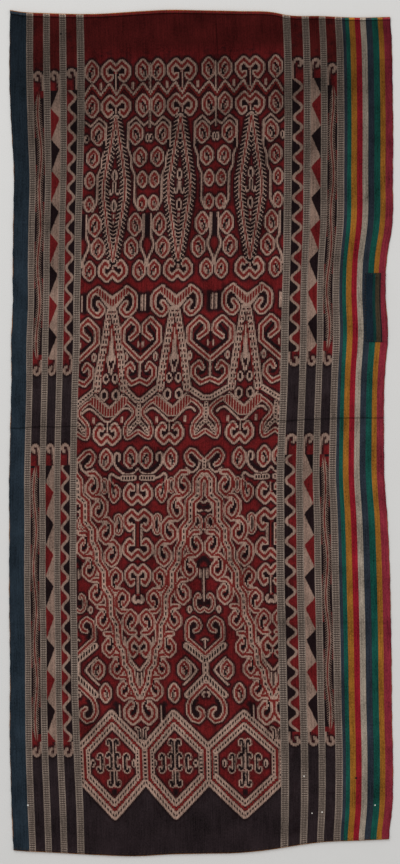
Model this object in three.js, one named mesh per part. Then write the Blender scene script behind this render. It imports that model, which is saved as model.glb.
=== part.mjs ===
// An ikat woven skirt cloth, laid flat and face up, with a repair patch at its right selvedge.
//
// Millimetres. +X runs towards the right selvedge, +Y along the warp towards the top end and
// +Z up from the surface that the cloth lies on. The origin is the middle of its flat underside.
import * as THREE from 'three';

// Driving sizes
const WIDTH = 499;             // across the widest place, selvedge to selvedge
const LENGTH = 1100;           // longest warp, folded end to folded end
const CLOTH_THICKNESS = 1.2;   // one layer of warp-faced cotton
const HEM_THICKNESS = 2.5;     // the layers at a hem, as they bulk up
const HEM_DEPTH = 5;           // how much of an end is turned
const HEM_SLOPE = 2;           // over which a hem falls to one layer
const PATCH_THICKNESS = 1.0;
const PATCH_GAP = 0.3;         // the patch lies this far over the cloth
const COLUMNS = 22;            // of cells across the cloth
const ROW_PITCH = 23;          // rough height of a row of cells

// Where the selvedges lie, from the left side of the cloth's box, at distances from its top
const SELVEDGES = [
  { fromTop: 0, left: 1, right: 496 },
  { fromTop: 65, left: 0.5, right: 498 },
  { fromTop: 143, left: 2.5, right: 499 },
  { fromTop: 221, left: 6.5, right: 499 },
  { fromTop: 286, left: 5, right: 498.5 },
  { fromTop: 338, left: 4.5, right: 490.5 },
  { fromTop: 377, left: 5, right: 490 },
  { fromTop: 429, left: 2.5, right: 493 },
  { fromTop: 481, left: 3, right: 489 },
  { fromTop: 559, left: 1, right: 487.5 },
  { fromTop: 611, left: 0, right: 488 },
  { fromTop: 663, left: 0.5, right: 492 },
  { fromTop: 741, left: 0, right: 495 },
  { fromTop: 819, left: 1, right: 497 },
  { fromTop: 897, left: 1, right: 497.5 },
  { fromTop: 988, left: 1.5, right: 499 },
  { fromTop: 1053, left: 4, right: 498 },
  { fromTop: 1100, left: 6, right: 494 },
];

// How far the two ends fall short of the box's top and bottom, at distances across it
const ENDS = [
  { across: 0, top: 0, bottom: 8 },
  { across: 17, top: 2.5, bottom: 6.5 },
  { across: 48, top: 4, bottom: 5 },
  { across: 110, top: 5, bottom: 1.5 },
  { across: 173, top: 1.5, bottom: 0 },
  { across: 204, top: 0, bottom: 2 },
  { across: 250, top: 0.5, bottom: 3 },
  { across: 298, top: 1.5, bottom: 4 },
  { across: 345, top: 3.5, bottom: 9 },
  { across: 360, top: 6.5, bottom: 11.5 },
  { across: 407, top: 8, bottom: 18 },
  { across: 454, top: 10, bottom: 20 },
  { across: 499, top: 9, bottom: 22 },
];

// Storage creases that cross the cloth: distances from its top at the two selvedges, and height
const CREASES = [
  { left: 277, right: 272, height: 0.35, spread: 16 },
  { left: 543, right: 531, height: 0.8, spread: 12 },
  { left: 799, right: 793, height: 0.35, spread: 16 },
];

// The long dent in the top end, and the soft waves of the laid cloth
const DENT = { across: 266, fromTop: 38, halfWidth: 9, halfLength: 26, height: 0.4 };
const WAVE = { height: 0.2, across: 92, along: 131 };

// The repair patch, from the left side and the top of the cloth's box
const PATCH = { left: 463, top: 342, bottom: 431.5, inset: 0.6, columns: 3, rows: 8 };

// A smooth curve through one column of a table, at a place along another
function curveThrough(table, place, column, at) {
  const last = table.length - 1;
  const x = Math.min(Math.max(at, table[0][place]), table[last][place]);
  let i = 0;
  while (i < last - 1 && table[i + 1][place] < x) i += 1;
  const slope = (k) => {
    const a = table[Math.max(k - 1, 0)];
    const b = table[Math.min(k + 1, last)];
    return (b[column] - a[column]) / (b[place] - a[place]);
  };
  const span = table[i + 1][place] - table[i][place];
  const t = (x - table[i][place]) / span;
  const [from, to] = [table[i][column], table[i + 1][column]];
  const rise = t * t * (3 - 2 * t);
  const leave = t * (1 - t) * (1 - t) * span * slope(i);
  const arrive = t * t * (1 - t) * span * slope(i + 1);
  return from + (to - from) * rise + leave - arrive;
}

const leftSelvedge = (fromTop) => curveThrough(SELVEDGES, 'fromTop', 'left', fromTop);
const rightSelvedge = (fromTop) => curveThrough(SELVEDGES, 'fromTop', 'right', fromTop);
const topEnd = (across) => curveThrough(ENDS, 'across', 'top', across);
const bottomEnd = (across) => LENGTH - curveThrough(ENDS, 'across', 'bottom', across);

// A soft bump: 1 in its middle, 0 from its half width outwards
function bump(distance, halfWidth) {
  const t = Math.min(Math.abs(distance) / halfWidth, 1);
  return (1 - t * t) * (1 - t * t);
}

// How flat the cloth lies near the patch: 0 under it and beside it, 1 further off
function awayFromPatch(across, fromTop) {
  const margin = 2 * ROW_PITCH;
  const beside = Math.max(PATCH.left - across, 0);
  const beyond = Math.max(PATCH.top - fromTop, fromTop - PATCH.bottom, 0);
  return Math.min(Math.max(Math.hypot(beside, beyond) / margin - 1, 0), 1);
}

// Height of the cloth's face over its underside
function faceHeight(across, fromTop, fromEnd) {
  const layers = Math.min(Math.max((HEM_DEPTH + HEM_SLOPE - fromEnd) / HEM_SLOPE, 0), 1);
  let uneven = 0;
  for (const crease of CREASES) {
    const line = crease.left + (crease.right - crease.left) * (across / WIDTH);
    uneven += crease.height * bump(fromTop - line, crease.spread);
  }
  const dentAcross = bump(across - DENT.across, DENT.halfWidth);
  const dent = dentAcross * bump(fromTop - DENT.fromTop, DENT.halfLength);
  const waveAcross = Math.sin((2 * Math.PI * across) / WAVE.across + fromTop / WAVE.along);
  const waveAlong = Math.cos((2 * Math.PI * fromTop) / WAVE.along);
  uneven += DENT.height * dent + WAVE.height * (1 + waveAcross * waveAlong);
  const single = CLOTH_THICKNESS + uneven * awayFromPatch(across, fromTop);
  return single + (HEM_THICKNESS - CLOTH_THICKNESS) * layers;
}

// A closed sheet over a grid: place(i, j) gives a grid point's x, y, foot and face
function sheetGeometry(columns, rows, place) {
  const points = [];
  const foot = [];
  const face = [];
  for (let j = 0; j <= rows; j += 1) {
    for (let i = 0; i <= columns; i += 1) {
      const p = place(i, j);
      face.push(points.push([p.x, p.y, p.face]) - 1);
      const onRim = i === 0 || i === columns || j === 0 || j === rows;
      foot.push(onRim ? points.push([p.x, p.y, p.foot]) - 1 : -1);
    }
  }
  const at = (i, j) => j * (columns + 1) + i;
  const faces = [];
  const quad = (a, b, c, d) => faces.push(a, b, c, a, c, d);

  // The face looks up; rows run down the cloth, so j + 1 lies towards -Y
  for (let j = 0; j < rows; j += 1) {
    for (let i = 0; i < columns; i += 1) {
      quad(face[at(i, j)], face[at(i, j + 1)], face[at(i + 1, j + 1)], face[at(i + 1, j)]);
    }
  }
  // The flat underside needs only its rim: a fan at each end and one quad for each row between
  const under = (i, j) => foot[at(i, j)];
  for (let i = 0; i < columns; i += 1) {
    faces.push(under(0, 1), under(i, 0), under(i + 1, 0));
    faces.push(under(0, rows - 1), under(i + 1, rows), under(i, rows));
  }
  faces.push(under(0, 1), under(columns, 0), under(columns, 1));
  faces.push(under(0, rows - 1), under(columns, rows - 1), under(columns, rows));
  for (let j = 1; j < rows - 1; j += 1) {
    quad(under(0, j), under(columns, j), under(columns, j + 1), under(0, j + 1));
  }
  // The four sides
  for (let i = 0; i < columns; i += 1) {
    quad(face[at(i, 0)], face[at(i + 1, 0)], under(i + 1, 0), under(i, 0));
    quad(face[at(i + 1, rows)], face[at(i, rows)], under(i, rows), under(i + 1, rows));
  }
  for (let j = 0; j < rows; j += 1) {
    quad(face[at(0, j + 1)], face[at(0, j)], under(0, j), under(0, j + 1));
    quad(face[at(columns, j)], face[at(columns, j + 1)], under(columns, j + 1), under(columns, j));
  }
  const geometry = new THREE.BufferGeometry();
  geometry.setAttribute('position', new THREE.Float32BufferAttribute(points.flat(), 3));
  geometry.setIndex(faces);
  geometry.computeVertexNormals();
  return geometry;
}

// From distances across and down the cloth's box to the part's own frame
const toX = (across) => across - WIDTH / 2;
const toY = (fromTop) => LENGTH / 2 - fromTop;

// How far down the woven length each row of cells starts: one row for each hem and its slope
function clothRows() {
  const hem = HEM_DEPTH + HEM_SLOPE;
  const inner = LENGTH - 2 * hem;
  const count = Math.round(inner / ROW_PITCH);
  const rows = [0, HEM_DEPTH];
  for (let k = 0; k <= count; k += 1) rows.push(hem + (inner * k) / count);
  rows.push(LENGTH - HEM_DEPTH, LENGTH);
  return rows;
}

// Where a row lies on the laid cloth: hems keep to their end, the rows between share what is left
function rowPlace(down, across) {
  const hem = HEM_DEPTH + HEM_SLOPE;
  const [start, end] = [topEnd(across), bottomEnd(across)];
  if (down < hem) return start + down;
  if (LENGTH - down < hem) return end - (LENGTH - down);
  return start + hem + ((end - start - 2 * hem) * (down - hem)) / (LENGTH - 2 * hem);
}

function clothGeometry() {
  const rows = clothRows();
  return sheetGeometry(COLUMNS, rows.length - 1, (i, j) => {
    const down = rows[j];
    const fromTop = rowPlace(down, (WIDTH * i) / COLUMNS);
    const left = leftSelvedge(fromTop);
    const across = left + ((rightSelvedge(fromTop) - left) * i) / COLUMNS;
    const fromEnd = Math.min(down, LENGTH - down);
    const face = faceHeight(across, fromTop, fromEnd);
    return { x: toX(across), y: toY(fromTop), foot: 0, face };
  });
}

function patchGeometry() {
  const foot = CLOTH_THICKNESS + PATCH_GAP;
  return sheetGeometry(PATCH.columns, PATCH.rows, (i, j) => {
    const fromTop = PATCH.top + ((PATCH.bottom - PATCH.top) * j) / PATCH.rows;
    const right = rightSelvedge(fromTop) - PATCH.inset;
    const across = PATCH.left + ((right - PATCH.left) * i) / PATCH.columns;
    return { x: toX(across), y: toY(fromTop), foot, face: foot + PATCH_THICKNESS };
  });
}

// Woven cotton: the cloth reads as dark red, the patch as navy
const clothMaterial = new THREE.MeshStandardMaterial({ color: 0x6b2a24, roughness: 0.9, metalness: 0 });
const patchMaterial = new THREE.MeshStandardMaterial({ color: 0x2c3a46, roughness: 0.9, metalness: 0 });

const skirtCloth = new THREE.Group();
const pieces = [
  ['cloth', clothGeometry(), clothMaterial],
  ['patch', patchGeometry(), patchMaterial],
];
for (const [name, geometry, material] of pieces) {
  const mesh = new THREE.Mesh(geometry, material);
  mesh.name = name;
  skirtCloth.add(mesh);
}

export default skirtCloth;
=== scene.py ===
"""An ikat woven skirt cloth, laid flat and face up, with hemmed ends and a repair patch.

The cloth is one closed sheet. Its ikat figures are strokes drawn on a chart, in picks of weft,
and the distance to the nearest stroke is kept on the corners of the faces, so that the
material can dye the yarns: cream where they were tied off, red and black elsewhere.
"""

import math
from collections import namedtuple
from functools import partial

import bpy
import numpy as np
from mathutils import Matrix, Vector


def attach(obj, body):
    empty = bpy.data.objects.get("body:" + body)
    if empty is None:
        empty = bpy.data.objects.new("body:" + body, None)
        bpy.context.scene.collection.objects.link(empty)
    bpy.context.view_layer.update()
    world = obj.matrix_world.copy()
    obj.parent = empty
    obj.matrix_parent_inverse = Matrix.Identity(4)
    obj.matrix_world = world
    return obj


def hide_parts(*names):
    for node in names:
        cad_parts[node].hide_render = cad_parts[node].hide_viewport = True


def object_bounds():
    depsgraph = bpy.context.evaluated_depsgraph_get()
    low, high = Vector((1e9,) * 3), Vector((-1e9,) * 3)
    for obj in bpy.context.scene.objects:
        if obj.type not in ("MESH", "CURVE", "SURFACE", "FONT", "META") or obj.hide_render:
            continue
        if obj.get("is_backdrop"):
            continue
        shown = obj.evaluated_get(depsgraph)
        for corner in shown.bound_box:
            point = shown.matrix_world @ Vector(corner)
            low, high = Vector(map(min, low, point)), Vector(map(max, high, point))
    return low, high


bl_info = {
    "name": "Ikat Skirt Cloth",
    "version": (1, 0, 0),
    "blender": (4, 5, 0),
    "location": "View3D > Sidebar > Ikat Cloth",
    "description": "Builds a warp ikat skirt cloth with striped sides, hems and a repair patch",
    "category": "Add Mesh",
}

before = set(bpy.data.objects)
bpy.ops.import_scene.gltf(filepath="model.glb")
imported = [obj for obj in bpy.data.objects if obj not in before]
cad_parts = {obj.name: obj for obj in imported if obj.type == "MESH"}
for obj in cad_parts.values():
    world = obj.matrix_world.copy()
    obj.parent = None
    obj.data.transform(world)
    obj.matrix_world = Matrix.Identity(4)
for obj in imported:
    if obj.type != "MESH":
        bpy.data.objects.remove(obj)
CAD_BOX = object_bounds()
MM = 0.001

# The chart's unit is one pick of weft, which is also one bundle of tied warp yarns.
PICK = 1.3 * MM

# Warp stripes from the left selvedge to the right one, in picks: kind, width, cells across.
STRIPES = (
    ("blue", 16.0, 5),
    ("ladder", 6.5, 2),
    ("vine", 9.5, 6),
    ("ladder", 6.5, 2),
    ("teeth", 9.0, 6),
    ("ladder", 6.5, 2),
    ("wave", 10.0, 6),
    ("ladder", 7.0, 2),
    ("field", 200.0, 150),
    ("ladder", 7.5, 2),
    ("wave", 11.5, 6),
    ("ladder", 7.0, 2),
    ("teeth", 10.0, 6),
    ("ladder", 6.5, 2),
    ("vine", 9.5, 6),
    ("ladder", 7.0, 2),
    ("slate", 3.0, 1),
    ("green", 4.0, 1),
    ("gold", 5.5, 2),
    ("crimson", 5.5, 2),
    ("ivory", 5.5, 2),
    ("slate", 6.0, 2),
    ("green", 6.0, 2),
    ("gold", 5.0, 2),
    ("pink", 7.5, 3),
)
# The first eight stripes lie to the left of the field.
FIELD_START = sum(width for _, width, _ in STRIPES[:8])
FIELD_WIDTH = 200.0
CLOTH_ACROSS = sum(width for _, width, _ in STRIPES)
CLOTH_DOWN = 846.0

# Where the laid cloth's selvedges and the two sides of its field lie, in picks from its box.
LIE = (
    # down, left selvedge, field's left, field's right, right selvedge
    (0, 1.0, 74.5, 273.5, 381.0),
    (50, 0.3, 75.5, 275.0, 383.0),
    (110, 2.0, 75.5, 275.5, 384.0),
    (170, 5.0, 74.0, 275.0, 384.0),
    (220, 4.0, 72.5, 274.5, 383.5),
    (260, 3.5, 72.0, 274.0, 377.5),
    (290, 4.0, 71.0, 273.0, 376.8),
    (330, 2.0, 71.0, 272.0, 379.0),
    (370, 2.3, 69.5, 271.5, 376.0),
    (430, 1.0, 68.0, 269.0, 375.0),
    (470, 0.0, 67.5, 267.5, 375.3),
    (510, 0.4, 67.5, 267.5, 378.5),
    (570, 0.0, 67.5, 267.5, 381.0),
    (630, 0.8, 68.5, 269.0, 382.3),
    (690, 0.8, 69.5, 270.5, 382.8),
    (750, 1.1, 72.0, 272.0, 384.0),
    (800, 2.6, 74.5, 272.0, 383.3),
    (846, 4.6, 75.5, 271.5, 380.0),
)

# How far the two ends fall short of the box's top and bottom, in picks.
ENDS = (
    # across, top, bottom
    (0, 0.0, 6.2),
    (13, 2.0, 5.0),
    (37, 3.2, 3.8),
    (85, 4.0, 1.2),
    (133, 1.2, 0.0),
    (157, 0.0, 1.5),
    (192, 0.4, 2.3),
    (229, 1.2, 3.1),
    (266, 2.7, 7.0),
    (277, 5.0, 8.8),
    (313, 6.2, 13.8),
    (349, 7.7, 15.4),
    (384, 7.0, 17.0),
)

# How far the rows of figures rise from the field's left side to its right side, in picks.
ROW_RISE = (
    # down, rise
    (0, 0.0),
    (45, 5.5),
    (110, 5.2),
    (260, 5.0),
    (380, 4.2),
    (440, 3.0),
    (600, 1.2),
    (740, 0.0),
    (846, 0.0),
)


def through(table, column, at):
    """A smooth curve through one column of a table whose first column is the place."""
    rows = np.array(table, float)
    x = rows[:, 0]
    y = rows[:, column]
    slope = np.gradient(y, x)
    at = np.clip(at, x[0], x[-1])
    i = np.clip(np.searchsorted(x, at) - 1, 0, len(x) - 2)
    span = x[i + 1] - x[i]
    t = (at - x[i]) / span
    rise = t * t * (3 - 2 * t)
    leave = t * (1 - t) ** 2 * span * slope[i]
    arrive = t * t * (1 - t) * span * slope[i + 1]
    return y[i] + (y[i + 1] - y[i]) * rise + leave - arrive


def smooth(low, high, value):
    """0 below low, 1 above high, and a smooth rise between."""
    t = np.clip((value - low) / (high - low), 0, 1)
    return t * t * (3 - 2 * t)


def laid(across, down):
    """Where a point of the loom-state cloth lies, in picks from the left and top of its box."""
    down = np.asarray(down, float)
    places = [through(LIE, k, down) for k in (1, 2, 3, 4)]
    marks = [0.0, FIELD_START, FIELD_START + FIELD_WIDTH, CLOTH_ACROSS]
    x = np.zeros(np.broadcast(across, down).shape)
    for k in range(3):
        share = (across - marks[k]) / (marks[k + 1] - marks[k])
        inside = (across >= marks[k]) & (across <= marks[k + 1])
        x = np.where(inside, places[k] + share * (places[k + 1] - places[k]), x)
    level = (across - FIELD_START) / FIELD_WIDTH
    y = down - through(ROW_RISE, 1, down) * level
    y = y + through(ENDS, 1, x) * (1 - smooth(0, 46, down))
    y = y - through(ENDS, 2, x) * smooth(CLOTH_DOWN - 60, CLOTH_DOWN, down)
    return x, y


def from_hex(code):
    """A hex colour as linear red, green and blue."""
    parts = [int(code[k : k + 2], 16) / 255 for k in (0, 2, 4)]
    return tuple(p / 12.92 if p <= 0.04045 else ((p + 0.055) / 1.055) ** 2.4 for p in parts)


def colour_prop(name, code, description):
    """A colour property of the cloth."""
    return bpy.props.FloatVectorProperty(
        name=name, description=description, subtype="COLOR", size=3, min=0, max=1, default=from_hex(code)
    )


def length_prop(name, value, description):
    """A length property, given in millimetres."""
    return bpy.props.FloatProperty(
        name=name, description=description, unit="LENGTH", subtype="DISTANCE", default=value * MM
    )


class ClothSizes(bpy.types.PropertyGroup):
    """Sizes of the cloth, its patch and its sewing."""

    thickness: length_prop("Cloth thickness", 1.2, "One layer of the warp-faced cotton")
    hem_thickness: length_prop("Hem thickness", 2.4, "The layers of a hem")
    hem_depth: length_prop("Hem depth", 5.0, "How much of an end is turned")
    wave: length_prop("Wave", 0.2, "Height of the soft waves of the laid cloth")
    crease: length_prop("Crease", 0.8, "Height of the middle storage crease")
    patch_gap: length_prop("Patch gap", 0.35, "How far the patch lies over the cloth")
    patch_thickness: length_prop("Patch thickness", 0.9, "One layer of the patch")
    hem_stitch: length_prop("Hem stitch", 5.5, "Pitch of the stitches along the hems")
    patch_stitch: length_prop("Patch stitch", 3.4, "Pitch of the stitches round the patch")


class ClothColours(bpy.types.PropertyGroup):
    """Colours of the yarns."""

    cream: colour_prop("Cream", "91776A", "Cotton that was tied off from the dye")
    madder: colour_prop("Madder", "5F1E1B", "Red of the figures' core lines")
    ground: colour_prop("Ground", "5C1718", "Red ground of the field")
    plain: colour_prop("Plain red", "4A1413", "Plain red beside the top hem")
    ink: colour_prop("Ink", "190F11", "Black of the overdyed yarns")
    dusk: colour_prop("Dusk", "241C1E", "Plain purple-black below the figures")
    blue: colour_prop("Blue", "202931", "Band at the left selvedge")
    rung: colour_prop("Rung", "786A60", "Pale yarns of the ladder bands")
    slate: colour_prop("Slate", "262C34", "Navy stripes")
    green: colour_prop("Green", "14443B", "Green stripes")
    gold: colour_prop("Gold", "85551F", "Gold stripes")
    crimson: colour_prop("Crimson", "7B1722", "Inner red stripe")
    ivory: colour_prop("Ivory", "8B7F72", "Inner pale stripe")
    pink: colour_prop("Pink", "762530", "Outer red stripe")
    thread: colour_prop("Thread", "4A3B2E", "Sewing thread")


# Half widths of the chart's strokes, in picks.
BAND = 2.55
CORE = 1.15
LINE = 0.95

# How far beyond its edge a stroke still counts, in picks; twice that stands for no figure.
REACH = 9.0

# Numbers that mark a wholly black line, a wholly red line, dashes that stand along the warp,
# and dashes so close that they join.
ALL_INK = 60.0
ALL_RED = 50.0
UPRIGHT = 100.0
JOINED = 0.2

# Which of a cell's two places, its upper edge or its lower one, each of its four corners takes.
UPPER_OR_LOWER = (0, 0, 1, 1)

Stroke = namedtuple("Stroke", "points halves looks pitch closed over")


class Chart:
    """The strokes of the figures, in picks from the field's left side and from the top end."""

    def __init__(self):
        self.strokes = []
        self.sign = 1

    def add(self, points, half, core=0.0, dash=0.0, halo=1.0, pitch=2.2, closed=False, soften=2, over=0):
        """Adds a stroke. core is the half width of its red core, or minus where a red ring starts.
        dash is the half width of the dark dashes along its middle, or minus where hatching starts.
        over lays it over the strokes it crosses; the higher number lies on top."""
        points = np.array(points, float)
        for _ in range(soften):
            points = self.rounded(points, closed)
        if closed:
            points = np.vstack([points, points[:1]])
        halves = half if isinstance(half, tuple) else (half, half)
        self.strokes.append(Stroke(points, halves, (core, dash, halo), pitch, closed, over))

    @staticmethod
    def rounded(points, closed):
        """Cuts the corners of a path, keeping its ends."""
        ahead = np.roll(points, -1, axis=0) if closed else points[1:]
        here = points if closed else points[:-1]
        cut = np.empty((2 * len(here), 2))
        cut[0::2] = 0.8 * here + 0.2 * ahead
        cut[1::2] = 0.2 * here + 0.8 * ahead
        if closed:
            return cut
        return np.vstack([points[:1], cut[1:-1], points[-1:]])

    def sides(self, axis, wide=1):
        """Both sides of a figure's axis; wide stretches what is drawn on them."""
        return Side(self, axis, -wide), Side(self, axis, wide)

    def band(self, points, half=BAND, core=CORE, **more):
        """A cream band with a red core."""
        self.add(points, half, core, **more)

    def thread(self, points, half=LINE, **more):
        """A plain cream line."""
        self.add(points, half, **more)

    def ladder(self, points, half=2.9, pitch=3.2, soften=1):
        """A cream band with dark dashes along its middle."""
        self.add(points, half, dash=0.95, pitch=pitch, soften=soften)

    def framed(self, points, half=5.6):
        """A ladder with a red band and a cream line on both its sides."""
        self.add(points, half, core=-2.1, dash=0.75, pitch=5.8, soften=0)

    def combed(self, points, half):
        """A cream band combed with upright red dashes across nearly all of it."""
        self.add(points, half, core=0.05, dash=min(half) - 0.9, soften=1)

    def channel(self, points, half, **more):
        """A black line with a thin cream line on both its sides."""
        self.add(points, half, dash=half - 1.0, pitch=JOINED, soften=1, **more)

    def ringlet(self, points, half=1.5):
        """A small closed ring with a thin red core."""
        self.band(points, half, 0.5, closed=True, soften=1)

    def hatched(self, points, half, inner, core):
        """A red line in a cream band that is hatched across in dark yarns outside its middle."""
        self.add(points, half, core, dash=-inner, pitch=4.2, soften=1)

    def inked(self, points, half=0.9, **more):
        """A black line."""
        self.add(points, half, dash=ALL_INK, **more)

    def red(self, points, half=0.9, **more):
        """A red line."""
        self.add(points, half, core=ALL_RED, **more)

    def owners(self, across, down):
        """For each cell of a grid, the stroke whose edge is nearest, or -1, and the distance."""
        x = between(across)
        y = between(down)
        edge = np.full((len(y), len(x)), REACH)
        owner = np.full(edge.shape, -1)
        middle = np.full(edge.shape, REACH)
        for n, stroke in enumerate(self.strokes):
            reach = REACH + max(stroke.halves)
            low = stroke.points.min(axis=0) - reach
            high = stroke.points.max(axis=0) + reach
            columns = slice(*np.searchsorted(x, (low[0], high[0])))
            rows = slice(*np.searchsorted(y, (low[1], high[1])))
            here = edge[rows, columns]
            if not here.size:
                continue
            grid = np.stack(np.meshgrid(x[columns], y[rows]), axis=-1).reshape(-1, 2)
            found = nearest(grid, stroke.points)
            away = found["distance"] - half_width(stroke, found["share"])
            away = np.where(away < 0, away - stroke.over * REACH, away).reshape(here.shape)
            nearer = away < here
            here[nearer] = away[nearer]
            owner[rows, columns][nearer] = n
            middle[rows, columns][nearer] = found["distance"].reshape(here.shape)[nearer]
        return owner, middle

    def measured(self, across, down):
        """Per face corner: signed distance, length along and half width; the looks; the pitch.

        A column of cells is one bundle of warp yarns, so its figure is the same right across it."""
        owner, middle = self.owners(across, down)
        line = np.zeros((*owner.shape, 4, 3))
        line[..., 0] = REACH * 2
        style = np.zeros(line.shape)
        pitches = np.ones(line.shape[:3])
        for n, stroke in enumerate(self.strokes):
            j, i = np.nonzero(owner == n)
            if not len(j):
                continue
            x = np.repeat(between(across)[i][:, None], 2, axis=1)
            y = np.stack([down[j], down[j + 1]], axis=-1)
            found = nearest(np.stack([x, y], axis=-1).reshape(-1, 2), stroke.points)
            found = {key: value.reshape(-1, 2) for key, value in found.items()}
            one_side = (found["beyond"] & (not stroke.closed)).any(axis=1) | (middle[j, i] > 1.5)
            signed = np.where(one_side[:, None], found["distance"], found["signed"])
            half = half_width(stroke, found["share"])
            line[j, i] = np.stack([signed, found["along"], half], axis=-1)[:, UPPER_OR_LOWER]
            style[j, i] = stroke.looks
            pitches[j, i] = stroke.pitch
        return line, style, pitches


class Side(Chart):
    """One side of a figure's axis. Its strokes are given out from the axis and go to the chart."""

    def __init__(self, chart, axis, sign):
        self.strokes = chart.strokes
        self.axis = axis
        self.sign = sign

    def add(self, points, half, *looks, **more):
        """Adds a stroke on this side of the axis."""
        super().add([(self.axis + self.sign * x, y) for x, y in points], half, *looks, **more)


def between(lines):
    """The middle of each cell, from the lines that part the cells."""
    return (lines[1:] + lines[:-1]) / 2


def half_width(stroke, share):
    """Half the width of a stroke at a share of its length."""
    first, last = stroke.halves
    return first + (last - first) * share


def nearest(places, points):
    """The nearest point of a path to each place: distance, side, length along, share of the whole."""
    start = points[:-1]
    step = points[1:] - start
    length = np.maximum(np.hypot(step[:, 0], step[:, 1]), 1e-9)
    before = np.concatenate([[0], np.cumsum(length)[:-1]])
    gone = places[:, None, :] - start[None]
    raw = (gone * step).sum(axis=-1) / length**2
    t = np.clip(raw, 0, 1)
    off = gone - t[..., None] * step
    distance = np.hypot(off[..., 0], off[..., 1])
    cross = (step[:, 0] * gone[..., 1] - step[:, 1] * gone[..., 0]) / length
    best = np.argmin(distance - 1e-3 * np.abs(cross), axis=1)
    pick = (np.arange(len(places)), best)
    along = before[best] + t[pick] * length[best]
    last = len(start) - 1
    beyond = ((best == 0) & (raw[pick] < 0)) | ((best == last) & (raw[pick] > 1))
    return {
        "distance": distance[pick],
        "signed": distance[pick] * np.where(cross[pick] < 0, -1, 1),
        "along": along,
        "share": along / length.sum(),
        "beyond": beyond,
    }


def curl(chart, x, y, wide, high, lean=1):
    """A closed pointed spiral: a ring round a black channel that starts at its middle.

    lean is the side away from which the channel runs. wide and high are to the ring's middle."""
    wide -= 0.6
    high -= 1.0
    ring = [(0, -high), (wide, -high * 0.4), (wide, high * 0.42)]
    ring += [(0.4 * lean * chart.sign, high), (-wide, high * 0.45), (-wide, -high * 0.4)]
    # The ring isn't mirrored: its right shoulder is the lower one on both sides of an axis.
    chart.band([(x + a * chart.sign, y + b) for a, b in ring], 2.9, closed=True, soften=0)
    small = min(wide / 4.6, 1.0)
    gap = [(0.8, -3.2), (-0.5, -1.8), (-2.2, 1.2), (-2.8, 4.2), (-1.4, 6.4)]
    eye = [(0.7, -2.8), (-0.3, -1.2)]
    gap, eye = ([(x + lean * a * small, y + b * high / 8.9) for a, b in path] for path in (gap, eye))
    chart.add(gap, (2.2 * small, 1.9 * small), dash=1.2 * small, pitch=JOINED, halo=0, soften=0, over=1)
    chart.inked(eye, 1.5 * small, halo=0, soften=0, over=2)


def horns(chart, axis, eye, turn=1, wide=12.2, reach=18.0):
    """A pair of ram horns over a stem. turn -1 stands them on their heads."""
    share = wide / 12.2
    horn = [(0, -2.0), (5.8, -8.2), (11.8, -2.4), (11.8, 3.2), (7.9, 8.6), (5.0, 5.7)]
    pupil = [(6.6, 0.2), (4.6, 1.6), (2.4, 4.4)]
    horn, pupil = ([(x * share, eye + turn * y) for x, y in path] for path in (horn, pupil))
    for side in chart.sides(axis):
        side.band(horn, 3.3, 1.35, soften=0)
        side.inked(pupil, (1.4, 1.0))
        side.inked([(1.8, eye + turn * 3.6), (1.8, eye + turn * reach)], 1.0, halo=0.6, soften=0)
    chart.thread([(axis, eye + turn), (axis, eye + turn * (reach + 1))], 0.75, halo=0, soften=0)


def oval(chart, x, y, wide=2.2, high=4.6, eye="ink"):
    """A small pointed oval: a cream ring round a black or red middle."""
    low = high * 0.4
    ring = [(0, -high), (wide, -low), (wide, low), (0, high), (-wide, low), (-wide, -low)]
    chart.thread([(x + a, y + b) for a, b in ring], 0.85, closed=True, soften=0)
    middle = [(x, y - high * 0.35), (x, y + high * 0.35)]
    if eye == "ink":
        chart.inked(middle, 1.1, soften=0)
    else:
        chart.red(middle, 0.9, soften=0)


def fleck(chart, x, y, half=1.1, high=3.2):
    """A short cream dash."""
    chart.thread([(x, y - high), (x, y + high)], half, halo=0.5, soften=0)


def row_of_horns(chart, eye):
    """One of the two rows under the plain red: ram horns between closed curls."""
    for u, lean in ((7.5, 1), (58.5, -1), (73.5, 1), (124.5, -1), (140.5, 1), (191.5, -1)):
        curl(chart, u, eye, 5.0, 9.8, lean)
    for axis in (31.5, 97.5, 165.5):
        horns(chart, axis, eye)
    for u in (65.5, 131.5):
        chart.thread([(u, eye - 7), (u, eye + 22)], 0.65, soften=0)


def top_rows(chart):
    """Both rows of horns, with cream flecks and a zigzag between them."""
    for eye in (62, 97):
        row_of_horns(chart, eye)
    for u in (16.5, 48.5, 82.5, 113.5, 149.5, 181.5):
        fleck(chart, u, 77, 1.1, 2.7)
    peaks = (-8, 7.5, 25, 39, 58.5, 73.5, 91, 104, 124.5, 140.5, 159, 172, 191.5, 206)
    line = []
    under = []
    for left, right in zip(peaks, peaks[1:]):
        line += [(left, 74.5), ((left + right) / 2, 86)]
        under += [(left, 77.6), ((left + right) / 2, 89.2)]
    chart.thread(line, 0.95, soften=0)
    chart.red(under, 1.0, soften=0)


def lozenge(chart, axis):
    """A long leaf of a red line between feather dashes, with a small figure inside."""
    leaf = [(0, 109), (6.6, 147), (11.8, 180), (6.6, 215), (0, 252)]
    for side in chart.sides(axis):
        side.hatched(leaf, 5.2, 1.65, 0.7)
        arm = [(0.9, 173), (1.0, 181), (3.0, 186), (5.2, 183.5), (4.4, 180.6)]
        side.thread(arm, 0.8)
        side.inked([(3.0, 181), (3.1, 183.6)], 0.8, soften=0)
    chart.inked([(axis, 174), (axis, 182)], 0.6, soften=0)
    for y in (167, 197):
        oval(chart, axis, y, 2.0, 5.6)
    for y in (207.5, 213.5):
        fleck(chart, axis, y, 0.8, 1.4)
    horns(chart, axis, 262, turn=-1, wide=11.8, reach=9)


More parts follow.
